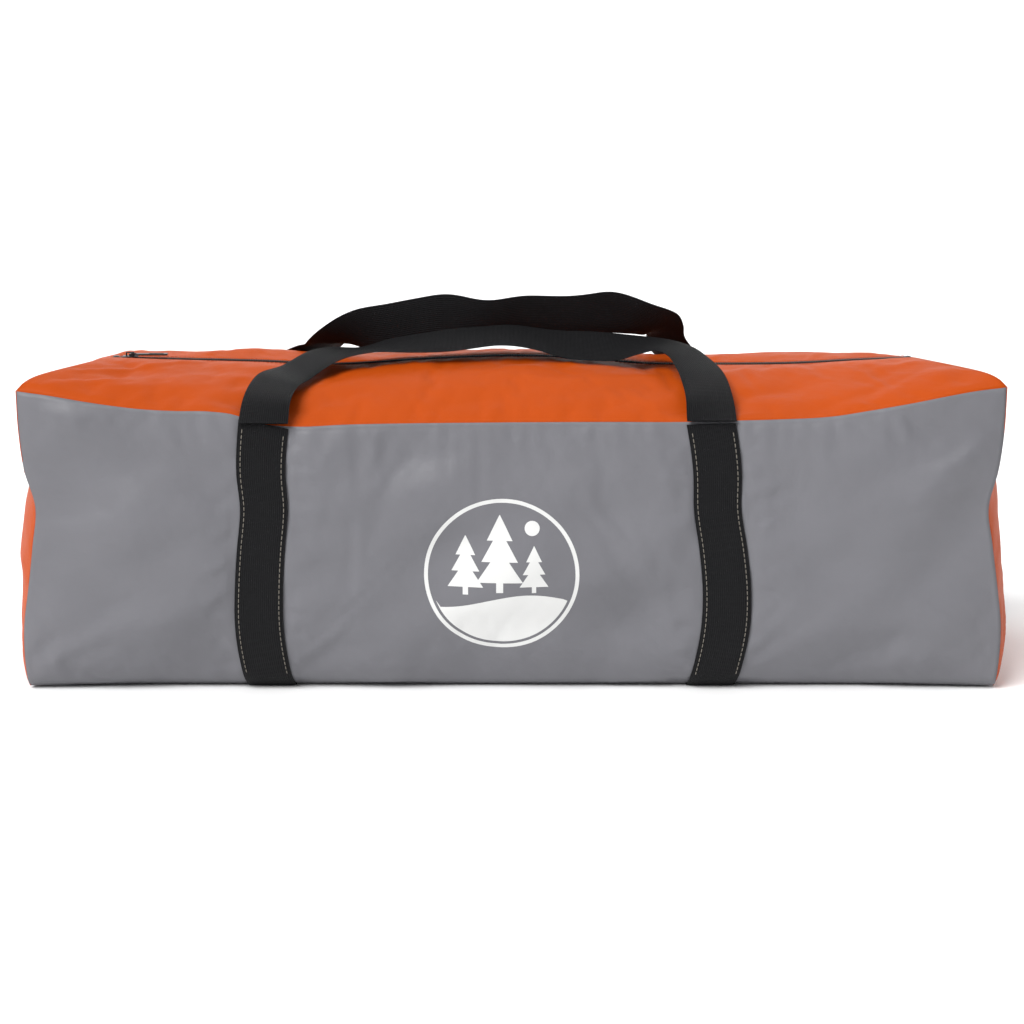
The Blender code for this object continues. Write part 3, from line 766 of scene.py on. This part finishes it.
def stitches(name, line, out, look, pitch=0.0043, length=0.0031, radius=0.00034):
    """Row of thread stitches along a line, each a small sunk capsule."""
    line = np.asarray(line, float)
    run = np.concatenate(([0], np.cumsum(np.linalg.norm(np.diff(line, axis=0), axis=1))))
    count = int(run[-1] / pitch)
    points = []
    faces = []
    sides = 6
    profile = ((0.0, -0.9), (0.18, 0.15), (0.5, 0.42), (0.82, 0.15), (1.0, -0.9))
    for c in range(count):
        at = (c + 0.15) * pitch
        for f, rise in profile:
            place = smooth_values(run, line, [at + f * length])[0]
            ahead = smooth_values(run, line, [at + f * length + 0.0003])[0]
            up = smooth_values(run, out, [at + f * length])[0]
            d = ahead - place
            d /= np.linalg.norm(d) + 1e-12
            w = np.cross(d, up)
            w /= np.linalg.norm(w) + 1e-12
            centre = place + up * (rise * radius)
            size = radius * (1.0 if 0.1 < f < 0.9 else 0.7)
            for k in range(sides):
                a = 2 * pi * k / sides
                points.append(centre + size * (cos(a) * w + sin(a) * up))
        base = c * sides * len(profile)
        for ring in range(len(profile) - 1):
            for k in range(sides):
                a = base + ring * sides + k
                b = base + ring * sides + (k + 1) % sides
                faces.append((a, b, b + sides, a + sides))
    mesh = bpy.data.meshes.new(name)
    mesh.from_pydata([tuple(p) for p in points], [], faces)
    mesh.materials.append(look)
    made = bpy.data.objects.new(name, mesh)
    bpy.context.scene.collection.objects.link(made)
    smooth(made)
    return made


# free handle loops: (middle of the webbing, direction across it)
FRONT_HANDLE = (
    ((-0.1905, -0.1175, 0.2140), (1.00, 0.00, 0.00)),
    ((-0.1890, -0.1080, 0.2275), (0.97, -0.22, -0.06)),
    ((-0.1830, -0.0800, 0.2395), (0.88, -0.45, -0.15)),
    ((-0.1690, -0.0510, 0.2440), (0.62, -0.76, -0.16)),
    ((-0.1530, -0.0360, 0.2505), (0.50, -0.84, -0.14)),
    ((-0.1370, -0.0260, 0.2540), (0.40, -0.91, -0.06)),
    ((-0.1150, -0.0190, 0.2555), (0.30, -0.95, 0.04)),
    ((-0.0900, -0.0150, 0.2600), (0.15, -0.96, -0.18)),
    ((-0.0500, -0.0140, 0.2630), (0.03, -0.95, -0.31)),
    ((-0.0100, -0.0140, 0.2668), (0.00, -0.96, -0.28)),
    ((0.0200, -0.0140, 0.2640), (0.00, -0.94, -0.33)),
    ((0.0500, -0.0145, 0.2585), (-0.02, -0.89, -0.46)),
    ((0.0800, -0.0150, 0.2575), (-0.10, -0.88, -0.46)),
    ((0.1040, -0.0160, 0.2595), (-0.20, -0.95, -0.22)),
    ((0.1190, -0.0200, 0.2600), (-0.34, -0.93, -0.10)),
    ((0.1330, -0.0310, 0.2570), (-0.55, -0.83, -0.07)),
    ((0.1420, -0.0500, 0.2505), (-0.72, -0.69, -0.10)),
    ((0.1480, -0.0720, 0.2420), (-0.87, -0.48, -0.10)),
    ((0.1520, -0.1020, 0.2300), (-0.96, -0.27, -0.05)),
    ((0.1530, -0.1175, 0.2160), (-1.00, 0.00, 0.00)),
)

REAR_HANDLE = (
    ((-0.1905, 0.1145, 0.2135), (1.00, 0.00, 0.00)),
    ((-0.1860, 0.0970, 0.2260), (0.96, 0.25, -0.05)),
    ((-0.1720, 0.0740, 0.2385), (0.90, 0.42, -0.10)),
    ((-0.1580, 0.0550, 0.2475), (0.84, 0.52, -0.12)),
    ((-0.1520, 0.0380, 0.2525), (0.80, 0.59, -0.08)),
    ((-0.1500, 0.0290, 0.2550), (0.78, 0.61, -0.14)),
    ((-0.1420, 0.0210, 0.2605), (0.66, 0.63, -0.40)),
    ((-0.1210, 0.0185, 0.2670), (0.36, 0.32, -0.87)),
    ((-0.1000, 0.0180, 0.2690), (0.14, 0.12, -0.98)),
    ((-0.0810, 0.0200, 0.2725), (0.00, 0.05, -1.00)),
    ((-0.0510, 0.0195, 0.2755), (0.00, 0.12, -0.99)),
    ((-0.0120, 0.0150, 0.2755), (0.00, 0.42, -0.91)),
    ((0.0150, 0.0150, 0.2770), (0.00, 0.41, -0.91)),
    ((0.0600, 0.0150, 0.2785), (0.00, 0.37, -0.93)),
    ((0.0840, 0.0150, 0.2795), (0.02, 0.45, -0.89)),
    ((0.1050, 0.0160, 0.2770), (-0.26, 0.60, -0.75)),
    ((0.1200, 0.0240, 0.2715), (-0.66, 0.50, -0.55)),
    ((0.1240, 0.0360, 0.2640), (-0.76, 0.58, -0.28)),
    ((0.1250, 0.0500, 0.2540), (-0.80, 0.57, -0.18)),
    ((0.1310, 0.0680, 0.2430), (-0.86, 0.48, -0.12)),
    ((0.1420, 0.0900, 0.2300), (-0.93, 0.33, -0.05)),
    ((0.1530, 0.1145, 0.2135), (-1.00, 0.00, 0.00)),
)


def handle(name, course, look, seed):
    places = np.array([p for p, _ in course])
    turns = np.array([d for _, d in course])
    keys = np.concatenate(([0], np.cumsum(np.linalg.norm(np.diff(places, axis=0), axis=1))))
    at = np.linspace(0, keys[-1], 220)
    middle = smooth_values(keys, places, at)
    across = smooth_values(keys, turns, at)
    across /= np.linalg.norm(across, axis=1, keepdims=True)
    free = np.minimum(at, at[-1] - at)
    ease = step(0.01, 0.06, free)
    middle[:, 2] += 0.0010 * waves(at, 0 * at, 0.080, seed) * ease
    middle[:, 1] += 0.0012 * waves(at, 0 * at, 0.110, seed + 1) * ease
    left = middle - across * WEB / 2
    right = middle + across * WEB / 2
    left[:, 2] += 0.0008 * waves(at, 0 * at, 0.050, seed + 2) * ease
    return ribbon(name, left, right, look)


def on_bag(made, node):
    """Puts a piece on the bag in place of a CAD node."""
    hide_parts(node)
    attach(made, "bag")


def bend_with(made):
    """Bakes a piece's transform into its mesh and reads out its points."""
    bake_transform(made)
    co = np.zeros(len(made.data.vertices) * 3)
    made.data.vertices.foreach_get("co", co)


grey = woven("grey_polyester", (0.156, 0.155, 0.170), 0.44, sheen=0.04, change=0.05)
orange = woven("orange_polyester", (0.440, 0.061, 0.003), 0.52, sheen=0.0, change=0.05, gloss=0.10)
web = webbing_material("black_webbing")
thread = plain("thread", (0.20, 0.18, 0.15), 0.7)
zip_black = woven("zip_nylon", (0.010, 0.010, 0.011), 0.6, pitch=0.0007, sheen=0.0)

x, v, t, grids, settled, uvs = cloth_body(run=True)
LOOKS = {"front_panel": grey, "back_panel": grey, "bottom_panel": grey, "top_front": orange,
         "top_rear": orange, "end_panel_left": orange, "end_panel_right": orange}
fine = {}
for name in PANELS:
    made, fine[name] = finish_panel(name + "_cloth", settled[name], uvs[name], LOOKS[name])
    add_modifier(made, "SOLIDIFY", "Thickness", thickness=0.0006, offset=-1.0)
    apply_all(made)
    if name == "top_front":
        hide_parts("lid_front", "top_corner_front_left", "top_corner_front_right")
        bend_with(made)
    elif name == "top_rear":
        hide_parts("lid_rear", "top_corner_rear_left", "top_corner_rear_right")
        bend_with(made)
    else:
        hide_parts(name)
        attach(made, "bag")
    wide, tall = uvs[name].reshape(-1, 2).max(0)
    corners = grids[name]
    cells = np.cross(corners[1:, 1:] - corners[:-1, :-1], corners[1:, :-1] - corners[:-1, 1:])
    cut = min(float(np.linalg.norm(cells, axis=2).sum() / 2), float(wide * tall))

for word in STRAPS:
    left, right, out, rows = sewn_edges(word)
    made = ribbon("strap_%s_webbing" % word, left, right, web, outward=out)
    on_bag(made, "strap_" + word)
    surface = WEB_T / 2 + 0.00005
    for k, place in enumerate((0.085, 0.915)):
        line = left * (1 - place) + right * place + out * surface
        rear = slice(len(line) - rows + 12, len(line) - 4)
        for part, cut in (("front", slice(4, rows - 12)), ("rear", rear)):
            seam = stitches("stitches_%s_%s_%d" % (word, part, k), line[cut], out[cut], thread)
            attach(seam, "bag")

for name, course, side, seed in (("handle_front", FRONT_HANDLE, -1, 31),
                                 ("handle_rear", REAR_HANDLE, 1, 41)):
    made = handle(name + "_webbing", course, web, seed)
    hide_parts(name)
    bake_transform(made)


# ------------------------------------------------------------------ zip
def mesh_piece(name, points, faces, looks, indices=None, uv=None):
    mesh = bpy.data.meshes.new(name)
    mesh.from_pydata([tuple(p) for p in points], [], [tuple(int(c) for c in f) for f in faces])
    for look in looks:
        mesh.materials.append(look)
    if indices is not None:
        mesh.polygons.foreach_set("material_index", np.asarray(indices, np.int32))
    if uv is not None:
        put_uv(mesh, uv)
    face_outwards(mesh)
    made = linked(name, mesh)
    smooth(made)
    return made


def ring_faces(rings, sides):
    """Faces of a closed tube of point rings, with both end caps."""
    k = np.arange(sides)
    faces = []
    for r in range(rings - 1):
        a = r * sides + k
        b = r * sides + (k + 1) % sides
        faces.extend(np.stack((a, b, b + sides, a + sides), 1).tolist())
    faces.append(k[::-1].tolist())
    faces.append(((rings - 1) * sides + k).tolist())
    return faces


def tube(path, up, radius, sides=6):
    """Points and faces of a round tube along a path; up points roughly away from its inside."""
    path = np.asarray(path, float)
    along = np.gradient(path, axis=0)
    along /= np.linalg.norm(along, axis=1, keepdims=True)
    side = np.cross(along, up)
    side /= np.linalg.norm(side, axis=1, keepdims=True)
    out = np.cross(side, along)
    turn = np.linspace(0, 2 * pi, sides, endpoint=False)
    size = np.broadcast_to(np.asarray(radius, float), (len(path),))[:, None, None]
    rings = path[:, None] + size * (np.cos(turn)[None, :, None] * side[:, None]
                                    + np.sin(turn)[None, :, None] * out[:, None])
    return rings.reshape(-1, 3), ring_faces(len(path), sides)


def lathe(profile, sides, look_of):
    """Points and faces of a turned piece along X; profile is (x, radius) from end to end."""
    turn = np.linspace(0, 2 * pi, sides, endpoint=False)
    rings = [np.stack((np.full(sides, x), r * np.cos(turn), r * np.sin(turn)), 1) for x, r in profile]
    faces = ring_faces(len(profile), sides)
    looks = [look_of(k // sides) for k in range((len(profile) - 1) * sides)] + [look_of(0), look_of(-1)]
    return np.concatenate(rings), faces, looks


def zip_line(x):
    return smooth_values(ZIP_X, ZIP_H, x)


def make_zip(black, orange_thread):
    reach = 0.3165
    pitch = 0.0019
    for sign, word in ((-1, "front"), (1, "rear")):
        xs = np.linspace(-0.3185, 0.3185, 320)
        ys = np.array((0.0030, 0.0045, 0.0060, 0.0080, 0.0105, 0.0128))
        rise = np.array((-0.0012, -0.0014, -0.0014, -0.0015, -0.0016, -0.0017))
        tape = np.stack([np.stack((xs, np.full_like(xs, sign * y), zip_line(xs) + dz), 1)
                         for y, dz in zip(ys, rise)])
        if sign > 0:
            tape = tape[::-1]
        made = grid_object("zip_tape_" + word, tape[::-1], arc_uv(tape[::-1]), (black,))
        add_modifier(made, "SOLIDIFY", "Thickness", thickness=0.0005, offset=-1.0)
        apply_all(made)
        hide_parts("zip_half_" + word)
        bend_with(made)
        turns = int(2 * reach / pitch)
        count = turns * 9
        k = np.arange(count) / count
        angle = 2 * pi * turns * k + (0 if sign < 0 else pi)
        x = -reach + 2 * reach * k
        path = np.stack((x, sign * (0.0017 + 0.0017 * np.cos(angle)),
                         zip_line(x) - 0.0004 + 0.0009 * np.sin(angle)), 1)
        up = np.stack((0 * x, sign * np.cos(angle), np.sin(angle)), 1)
        points, faces = tube(path, up, 0.00042, 5)
        made = mesh_piece("zip_coil_" + word, points, faces, (coil_black,))
        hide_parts("zip_half_" + word)
        bend_with(made)
        xs = np.linspace(-0.316, 0.316, 160)
        line = np.stack((xs, np.full_like(xs, sign * 0.0088), zip_line(xs) + 0.00012), 1)
        made = stitches("zip_stitches_" + word, line, np.tile((0.0, 0.0, 1.0), (len(xs), 1)),
                        orange_thread, pitch=0.0034, length=0.0026, radius=0.00028)
        bend_with(made)
    for side, word in ((-1, "left"), (1, "right")):
        profile = []
        x0 = side * 0.3172
        level = float(zip_line([abs(x0) * side])[0])
        for dx, wide, tall in ((-0.0026, 0.0022, 0.0008), (-0.0022, 0.0029, 0.0014), (0.0, 0.0032, 0.0017),
                               (0.0022, 0.0029, 0.0014), (0.0026, 0.0022, 0.0008)):
            turn = np.linspace(0, 2 * pi, 20, endpoint=False)
            c, n = np.cos(turn), np.sin(turn)
            profile.append(np.stack((np.full(20, x0 + dx),
                                     wide * np.sign(c) * np.abs(c) ** 0.5,
                                     level - 0.0003 + tall * np.sign(n) * np.abs(n) ** 0.5), 1))
        made = mesh_piece("zip_stop_" + word, np.concatenate(profile), ring_faces(5, 20), (zinc,))
        on_bag(made, "zip_end_" + word)


# ------------------------------------------------------------------ printed emblem
def circle(centre, radius, count=96):
    turn = np.linspace(0, 2 * pi, count, endpoint=False)
    return np.stack((centre[0] + radius * np.cos(turn), centre[1] + radius * np.sin(turn)), 1)


def pine(x, foot, tall):
    """A simple pine as four pieces that touch: trunk and three tiers."""
    pieces = (((0.0, 0.045), (0.13, 0.045)), ((0.13, 0.30), (0.40, 0.12)), ((0.40, 0.235), (0.67, 0.085)),
              ((0.67, 0.165), (1.0, 0.004)))
    return [[(x - tall * w0, foot + tall * h0), (x + tall * w0, foot + tall * h0),
             (x + tall * w1, foot + tall * h1), (x - tall * w1, foot + tall * h1)]
            for (h0, w0), (h1, w1) in pieces]


def make_emblem(front, look):
    """Generic round camp badge printed on the front: ring, hill, three pines and a moon."""
    centre = np.array((-0.0080, 0.0965))
    inner = 0.0548
    ground = [(centre[0] + inner * cos(a), centre[1] + inner * sin(a))
              for a in np.linspace(radians(-158), radians(-22), 40)]
    for x in np.linspace(ground[-1][0], ground[0][0], 30)[1:-1]:
        u = (x - centre[0]) / inner
        ground.append((x, centre[1] - 0.0205 + 0.0050 * sin(2.6 * u + 0.6)))
    shapes = [ground, circle(centre + np.array((0.0235, 0.0370)), 0.0058, 40)]
    for dx, foot, tall in ((-0.0280, -0.0150, 0.046), (-0.0015, -0.0130, 0.060), (0.0250, -0.0135, 0.037)):
        shapes += pine(centre[0] + dx, centre[1] + foot, tall)
    cage = bmesh.new()
    rings = [[cage.verts.new((x, 0, z)) for x, z in circle(centre, r)] for r in (0.0600, 0.0570)]
    for k in range(96):
        q = (k + 1) % 96
        cage.faces.new((rings[0][k], rings[0][q], rings[1][q], rings[1][k]))
    for shape in shapes:
        cage.faces.new([cage.verts.new((x, 0, z)) for x, z in shape])
    bmesh.ops.triangulate(cage, faces=cage.faces[:])
    for step_no in range(-20, 21):
        for axis, start in ((0, centre[0]), (2, centre[1])):
            place = Vector((0, 0, 0))
            place[axis] = start + 0.0031 * step_no
            normal = Vector((0, 0, 0))
            normal[axis] = 1
            bmesh.ops.bisect_plane(cage, geom=cage.verts[:] + cage.edges[:] + cage.faces[:],
                                   plane_co=place, plane_no=normal)
    rows, columns = front.shape[:2]
    quads = [(i * columns + j, (i + 1) * columns + j, (i + 1) * columns + j + 1, i * columns + j + 1)
             for i in range(rows - 1) for j in range(columns - 1)]
    cloth = BVHTree.FromPolygons([Vector(p) for p in front.reshape(-1, 3)], quads)
    for corner in cage.verts:
        hit = cloth.ray_cast(Vector((corner.co.x, -0.3, corner.co.z)), Vector((0, 1, 0)))
        corner.co.y = hit[0].y - 0.00016
    mesh = bpy.data.meshes.new("emblem_print")
    cage.to_mesh(mesh)
    cage.free()
    mesh.materials.append(look)
    made = bpy.data.objects.new("emblem_print", mesh)
    bpy.context.scene.collection.objects.link(made)
    for face in mesh.polygons:
        if face.normal.y > 0:
            face.flip()
    add_modifier(made, "SOLIDIFY", "Thickness", thickness=0.00014, offset=-1.0)
    apply_all(made)
    smooth(made)
    made.data.set_sharp_from_angle(angle=radians(40))
    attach(made, "bag")
    return made


# ------------------------------------------------------------------ contents
def superellipse(angle, power):
    c, n = np.cos(angle), np.sin(angle)
    return (np.sign(c) * np.abs(c) ** (2 / power), np.sign(n) * np.abs(n) ** (2 / power))


def make_roll(name, centre, halves, reach, look, turns, seed):
    """Cloth rolled up and squashed: one long spiral sheet, creased and uneven at its ends."""
    angle = np.linspace(0.6, 2 * pi * turns, turns * 46)
    part = angle / angle[-1]
    ys, zs = superellipse(angle + 0.9, 2.0 + 0.6 * 1.0)
    x = np.linspace(-1, 1, 44)
    x = np.sign(x) * np.abs(x) ** 0.85
    rows = x[:, None]
    spread = part[None, :]
    loose = 1 + 0.012 * waves(rows * reach * 2, angle[None] * 0.05, 0.16, seed) * (spread > 0.5)
    size = (0.10 + 0.885 * spread) * loose * (1 - 0.05 * np.abs(rows) ** 10)
    size = size - 0.011 * (1 + waves(rows * reach, angle[None] * 0.03, 0.06, seed + 3)) * spread
    end = reach * (0.985 + 0.012 * np.sin(angle[None] * 0.37 + seed) * np.abs(rows))
    grid = np.stack((rows * end, centre[0] + halves[0] * ys[None] * size,
                     centre[1] + halves[1] * zs[None] * size), axis=2)
    made = grid_object(name, grid, arc_uv(grid), (look,))
    add_modifier(made, "SOLIDIFY", "Thickness", thickness=0.0014, offset=0.0)
    apply_all(made)
    return made


def make_tie(name, x0, x1, centre, halves, power, thickness, look, seed):
    """Band pulled round a bundle as a closed ring."""
    angle = np.linspace(0, 2 * pi, 73)[:-1]
    ys, zs = superellipse(angle, power)
    across = np.linspace(x0, x1, 9)
    bend = 0.0012 * waves(angle, angle * 0, 2.0, seed)
    lift = 0.0009
    top = np.stack([np.stack((across + b, np.full(9, centre[0] + (halves[0] + lift) * y),
                              np.full(9, centre[1] + (halves[1] + lift) * z)), 1)
                    for b, y, z in zip(bend, ys, zs)])
    normal = np.stack((0 * ys, ys / halves[0], zs / halves[1]), 1)
    normal /= np.linalg.norm(normal, axis=1, keepdims=True)
    edge = 1 - 0.7 * np.abs(np.linspace(-1, 1, 9)) ** 8
    outer = top + normal[:, None] * (thickness / 2 * edge)[None, :, None]
    inner = top - normal[:, None] * (thickness / 2 * edge)[None, :, None]
    ring = np.concatenate((outer, inner[:, ::-1]), axis=1)
    n, m = ring.shape[:2]
    faces = []
    for i in range(n):
        k = (i + 1) % n
        for j in range(m):
            q = (j + 1) % m
            faces.append((i * m + j, k * m + j, k * m + q, i * m + q))
    run = np.linspace(0, 0.4, n)
    wide = np.concatenate((across - x0, x1 - across))
    uv = np.stack(np.broadcast_arrays(wide[None], run[:, None]), 2).reshape(-1, 2)
    return mesh_piece(name, ring.reshape(-1, 3), faces, (look,), uv=uv)


def make_contents():
    fly = woven("flysheet_cloth", (0.400, 0.058, 0.004), 0.55, ripstop=0.006, sheen=0.1)
    inner = woven("inner_tent_cloth", (0.560, 0.560, 0.540), 0.70, pitch=0.0008, sheen=0.2)
    pouch = woven("peg_bag_cloth", (0.150, 0.150, 0.162), 0.60, sheen=0.1)
    band = webbing_material("tie_band", (0.012, 0.012, 0.013))
    glass = plain("pole_fibreglass", (0.018, 0.018, 0.020), 0.28, grain=0.15, grain_scale=900.0)
    steel = plain("ferrule_steel", (0.55, 0.55, 0.56), 0.32, 1.0, grain=0.2, grain_scale=1200.0)
    base = 0.0062
    rolls = (("flysheet", (-0.0455, base + 0.0820), (0.0530, 0.0820), 0.335, fly, 9, 3, 0.0),
             ("inner_tent", (0.0590, base + 0.0770), (0.0400, 0.0770), 0.315, inner, 7, 8, 0.010))
    for word, centre, halves, reach, look, turns, seed, shift in rolls:
        made = make_roll(word + "_rolled", centre, halves, reach, look, turns, seed)
        on_bag(made, word + "_roll")
        for side, x in (("left", -0.170), ("right", 0.150)):
            made = make_tie("%s_band_%s" % (word, side), x + shift, x + shift + 0.025, centre, halves, 2.6,
                            0.0014, band, seed + len(side))
            on_bag(made, "%s_tie_%s" % (word, side))
    half = 0.310
    profile = ((-half, 0.0030), (-half + 0.0004, 0.0045), (-half + 0.002, 0.00475), (0.0, 0.00475),
               (half - 0.0900, 0.00475), (half - 0.0893, 0.0053), (half - 0.0700, 0.0053),
               (half - 0.0690, 0.0050), (half - 0.0680, 0.0053), (half - 0.0320, 0.0053),
               (half - 0.0300, 0.0050), (half - 0.0298, 0.0036), (half - 0.0030, 0.0036), (half, 0.0024))
    for word, y, z, shift in (("a", -0.0600, 0.1945, -0.004), ("b", -0.0130, 0.1950, 0.006),
                              ("c", 0.0370, 0.1890, 0.000)):
        spots = ((-0.0118, -0.0052), (0.0, -0.0052), (0.0118, -0.0052), (-0.0059, 0.0052), (0.0059, 0.0052))
        for k, (dy, dz) in enumerate(spots):
            points, faces, looks = lathe(profile, 14, lambda r: 1 if 4 <= r <= 10 else 0)
            points = points + np.array((shift + (0.005 if k % 2 else -0.005), y + dy, z + dz))
            made = mesh_piece("pole_%s_%d_rod" % (word, k + 1), points, faces, (glass, steel), looks)
            made.data.set_sharp_from_angle(angle=radians(40))
            on_bag(made, "pole_%s_%d" % (word, k + 1))
        made = make_tie("pole_band_" + word, shift - 0.010, shift + 0.010, (y, z), (0.0205, 0.0138), 2.5,
                        0.0012, band, 5)
        on_bag(made, "pole_tie_" + word)
    stations = ((0.105, 0.20), (0.108, 0.42), (0.112, 0.58), (0.130, 0.88), (0.165, 1.0), (0.215, 1.0),
                (0.255, 0.86), (0.266, 0.56), (0.2705, 0.30), (0.274, 0.29), (0.279, 0.36), (0.290, 0.42))
    keys = np.array([a for a, _ in stations])
    at = np.linspace(0.105, 0.290, 90)
    scale = smooth_values(keys, np.array([b for _, b in stations]), at)
    angle = np.linspace(0, 2 * pi, 73)[:-1]
    ys, zs = superellipse(angle, 2.2)
    neck = np.exp(-((at - 0.272) / 0.010) ** 2)[:, None]
    pleat = 1 + 0.16 * neck * np.sin(13 * angle)[None]
    pleat = pleat + 0.018 * waves(at[:, None], angle[None] * 0.03, 0.05, 9)
    tall = 0.0130 * np.minimum(1.0, 0.25 + 0.75 * scale)
    lumps = 1 + 0.05 * np.sin(angle * 5 + 0.6)[None] * (np.abs(zs) > 0.4)[None] * (1 - neck)
    grid = np.stack((np.broadcast_to(at[:, None], pleat.shape),
                     -0.012 + 0.041 * scale[:, None] * ys[None] * pleat,
                     0.2255 + tall[:, None] * zs[None] * np.clip(pleat * lumps, 0, 1.03)), axis=2)
    faces = ring_faces(len(at), 72)
    run = np.stack(np.broadcast_arrays((angle * 0.02)[None], at[:, None]), 2).reshape(-1, 2)
    made = mesh_piece("peg_bag_pouch", grid.reshape(-1, 3), faces, (pouch,), uv=run)
    on_bag(made, "peg_bag")


# ------------------------------------------------------------------ remaining pieces
zinc = plain("black_zinc", (0.030, 0.030, 0.032), 0.36, 0.85, grain=0.25, grain_scale=700.0)
coil_black = plain("coil_nylon", (0.012, 0.012, 0.013), 0.38, grain=0.1, grain_scale=2500.0)
orange_thread = plain("orange_thread", (0.42, 0.055, 0.005), 0.7)
make_zip(zip_black, orange_thread)
for name in ("zip_slider", "zip_pull"):
    node = bpy.data.objects.get(name)
    if node is None:
        continue
    node.data.materials.clear()
    node.data.materials.append(zinc)
    add_modifier(node, "BEVEL", "Edges", width=0.00022, segments=2, limit_method="ANGLE",
                 angle_limit=radians(40))
print_white = plain("emblem_print", (0.70, 0.70, 0.69), 0.55, grain=0.12, grain_scale=1500.0)
make_emblem(fine["front_panel"], print_white)
make_contents()


# ------------------------------------------------------------------ camera and light
def stage():
    rows = [(-16.0, 0.0), (3.0, 0.0)]
    rows += [(3.0 + 1.5 * sin(a), 1.5 - 1.5 * cos(a)) for a in np.linspace(0, pi / 2, 17)[1:]]
    rows += [(4.5, 7.0)]
    sweep = np.array([[(x, y, z) for x in (16.0, -16.0)] for y, z in rows])
    made = grid_object("floor_and_backdrop", sweep, None, (plain("stage_white", (0.97, 0.97, 0.97), 0.9),))
    world = bpy.context.scene.world or bpy.data.worlds.new("World")
    bpy.context.scene.world = world
    world.use_nodes = True
    back = world.node_tree.nodes["Background"]
    back.inputs["Color"].default_value = (1.0, 1.0, 1.0, 1)
    back.inputs["Strength"].default_value = 0.30
    lights = (
        ("key", (-1.10, -1.25, 1.75), 3.1, 38),
        ("top", (0.4, 0.3, 2.4), 0.45, 50),
    )
    for name, place, power, spread in lights:
        data = bpy.data.lights.new(name, "SUN")
        data.energy = power
        data.angle = radians(spread)
        lamp = bpy.data.objects.new(name, data)
        lamp.location = place
        lamp.rotation_euler = (-Vector(place)).to_track_quat("-Z", "Y").to_euler()
        bpy.context.scene.collection.objects.link(lamp)
    data = bpy.data.cameras.new("camera")
    data.lens = 104.1
    camera = bpy.data.objects.new("camera", data)
    tilt = radians(12.0)
    target = Vector((0, 0, 0.12))
    camera.location = target + Vector((0, -cos(tilt), sin(tilt))) * 2.4
    camera.rotation_euler = (target - camera.location).to_track_quat("-Z", "Y").to_euler()
    data.dof.use_dof = False
    data.clip_end = 60
    bpy.context.scene.collection.objects.link(camera)
    bpy.context.scene.camera = camera
    bpy.context.scene.view_settings.view_transform = "Standard"
    bpy.context.scene.view_settings.exposure = 0.12


stage()
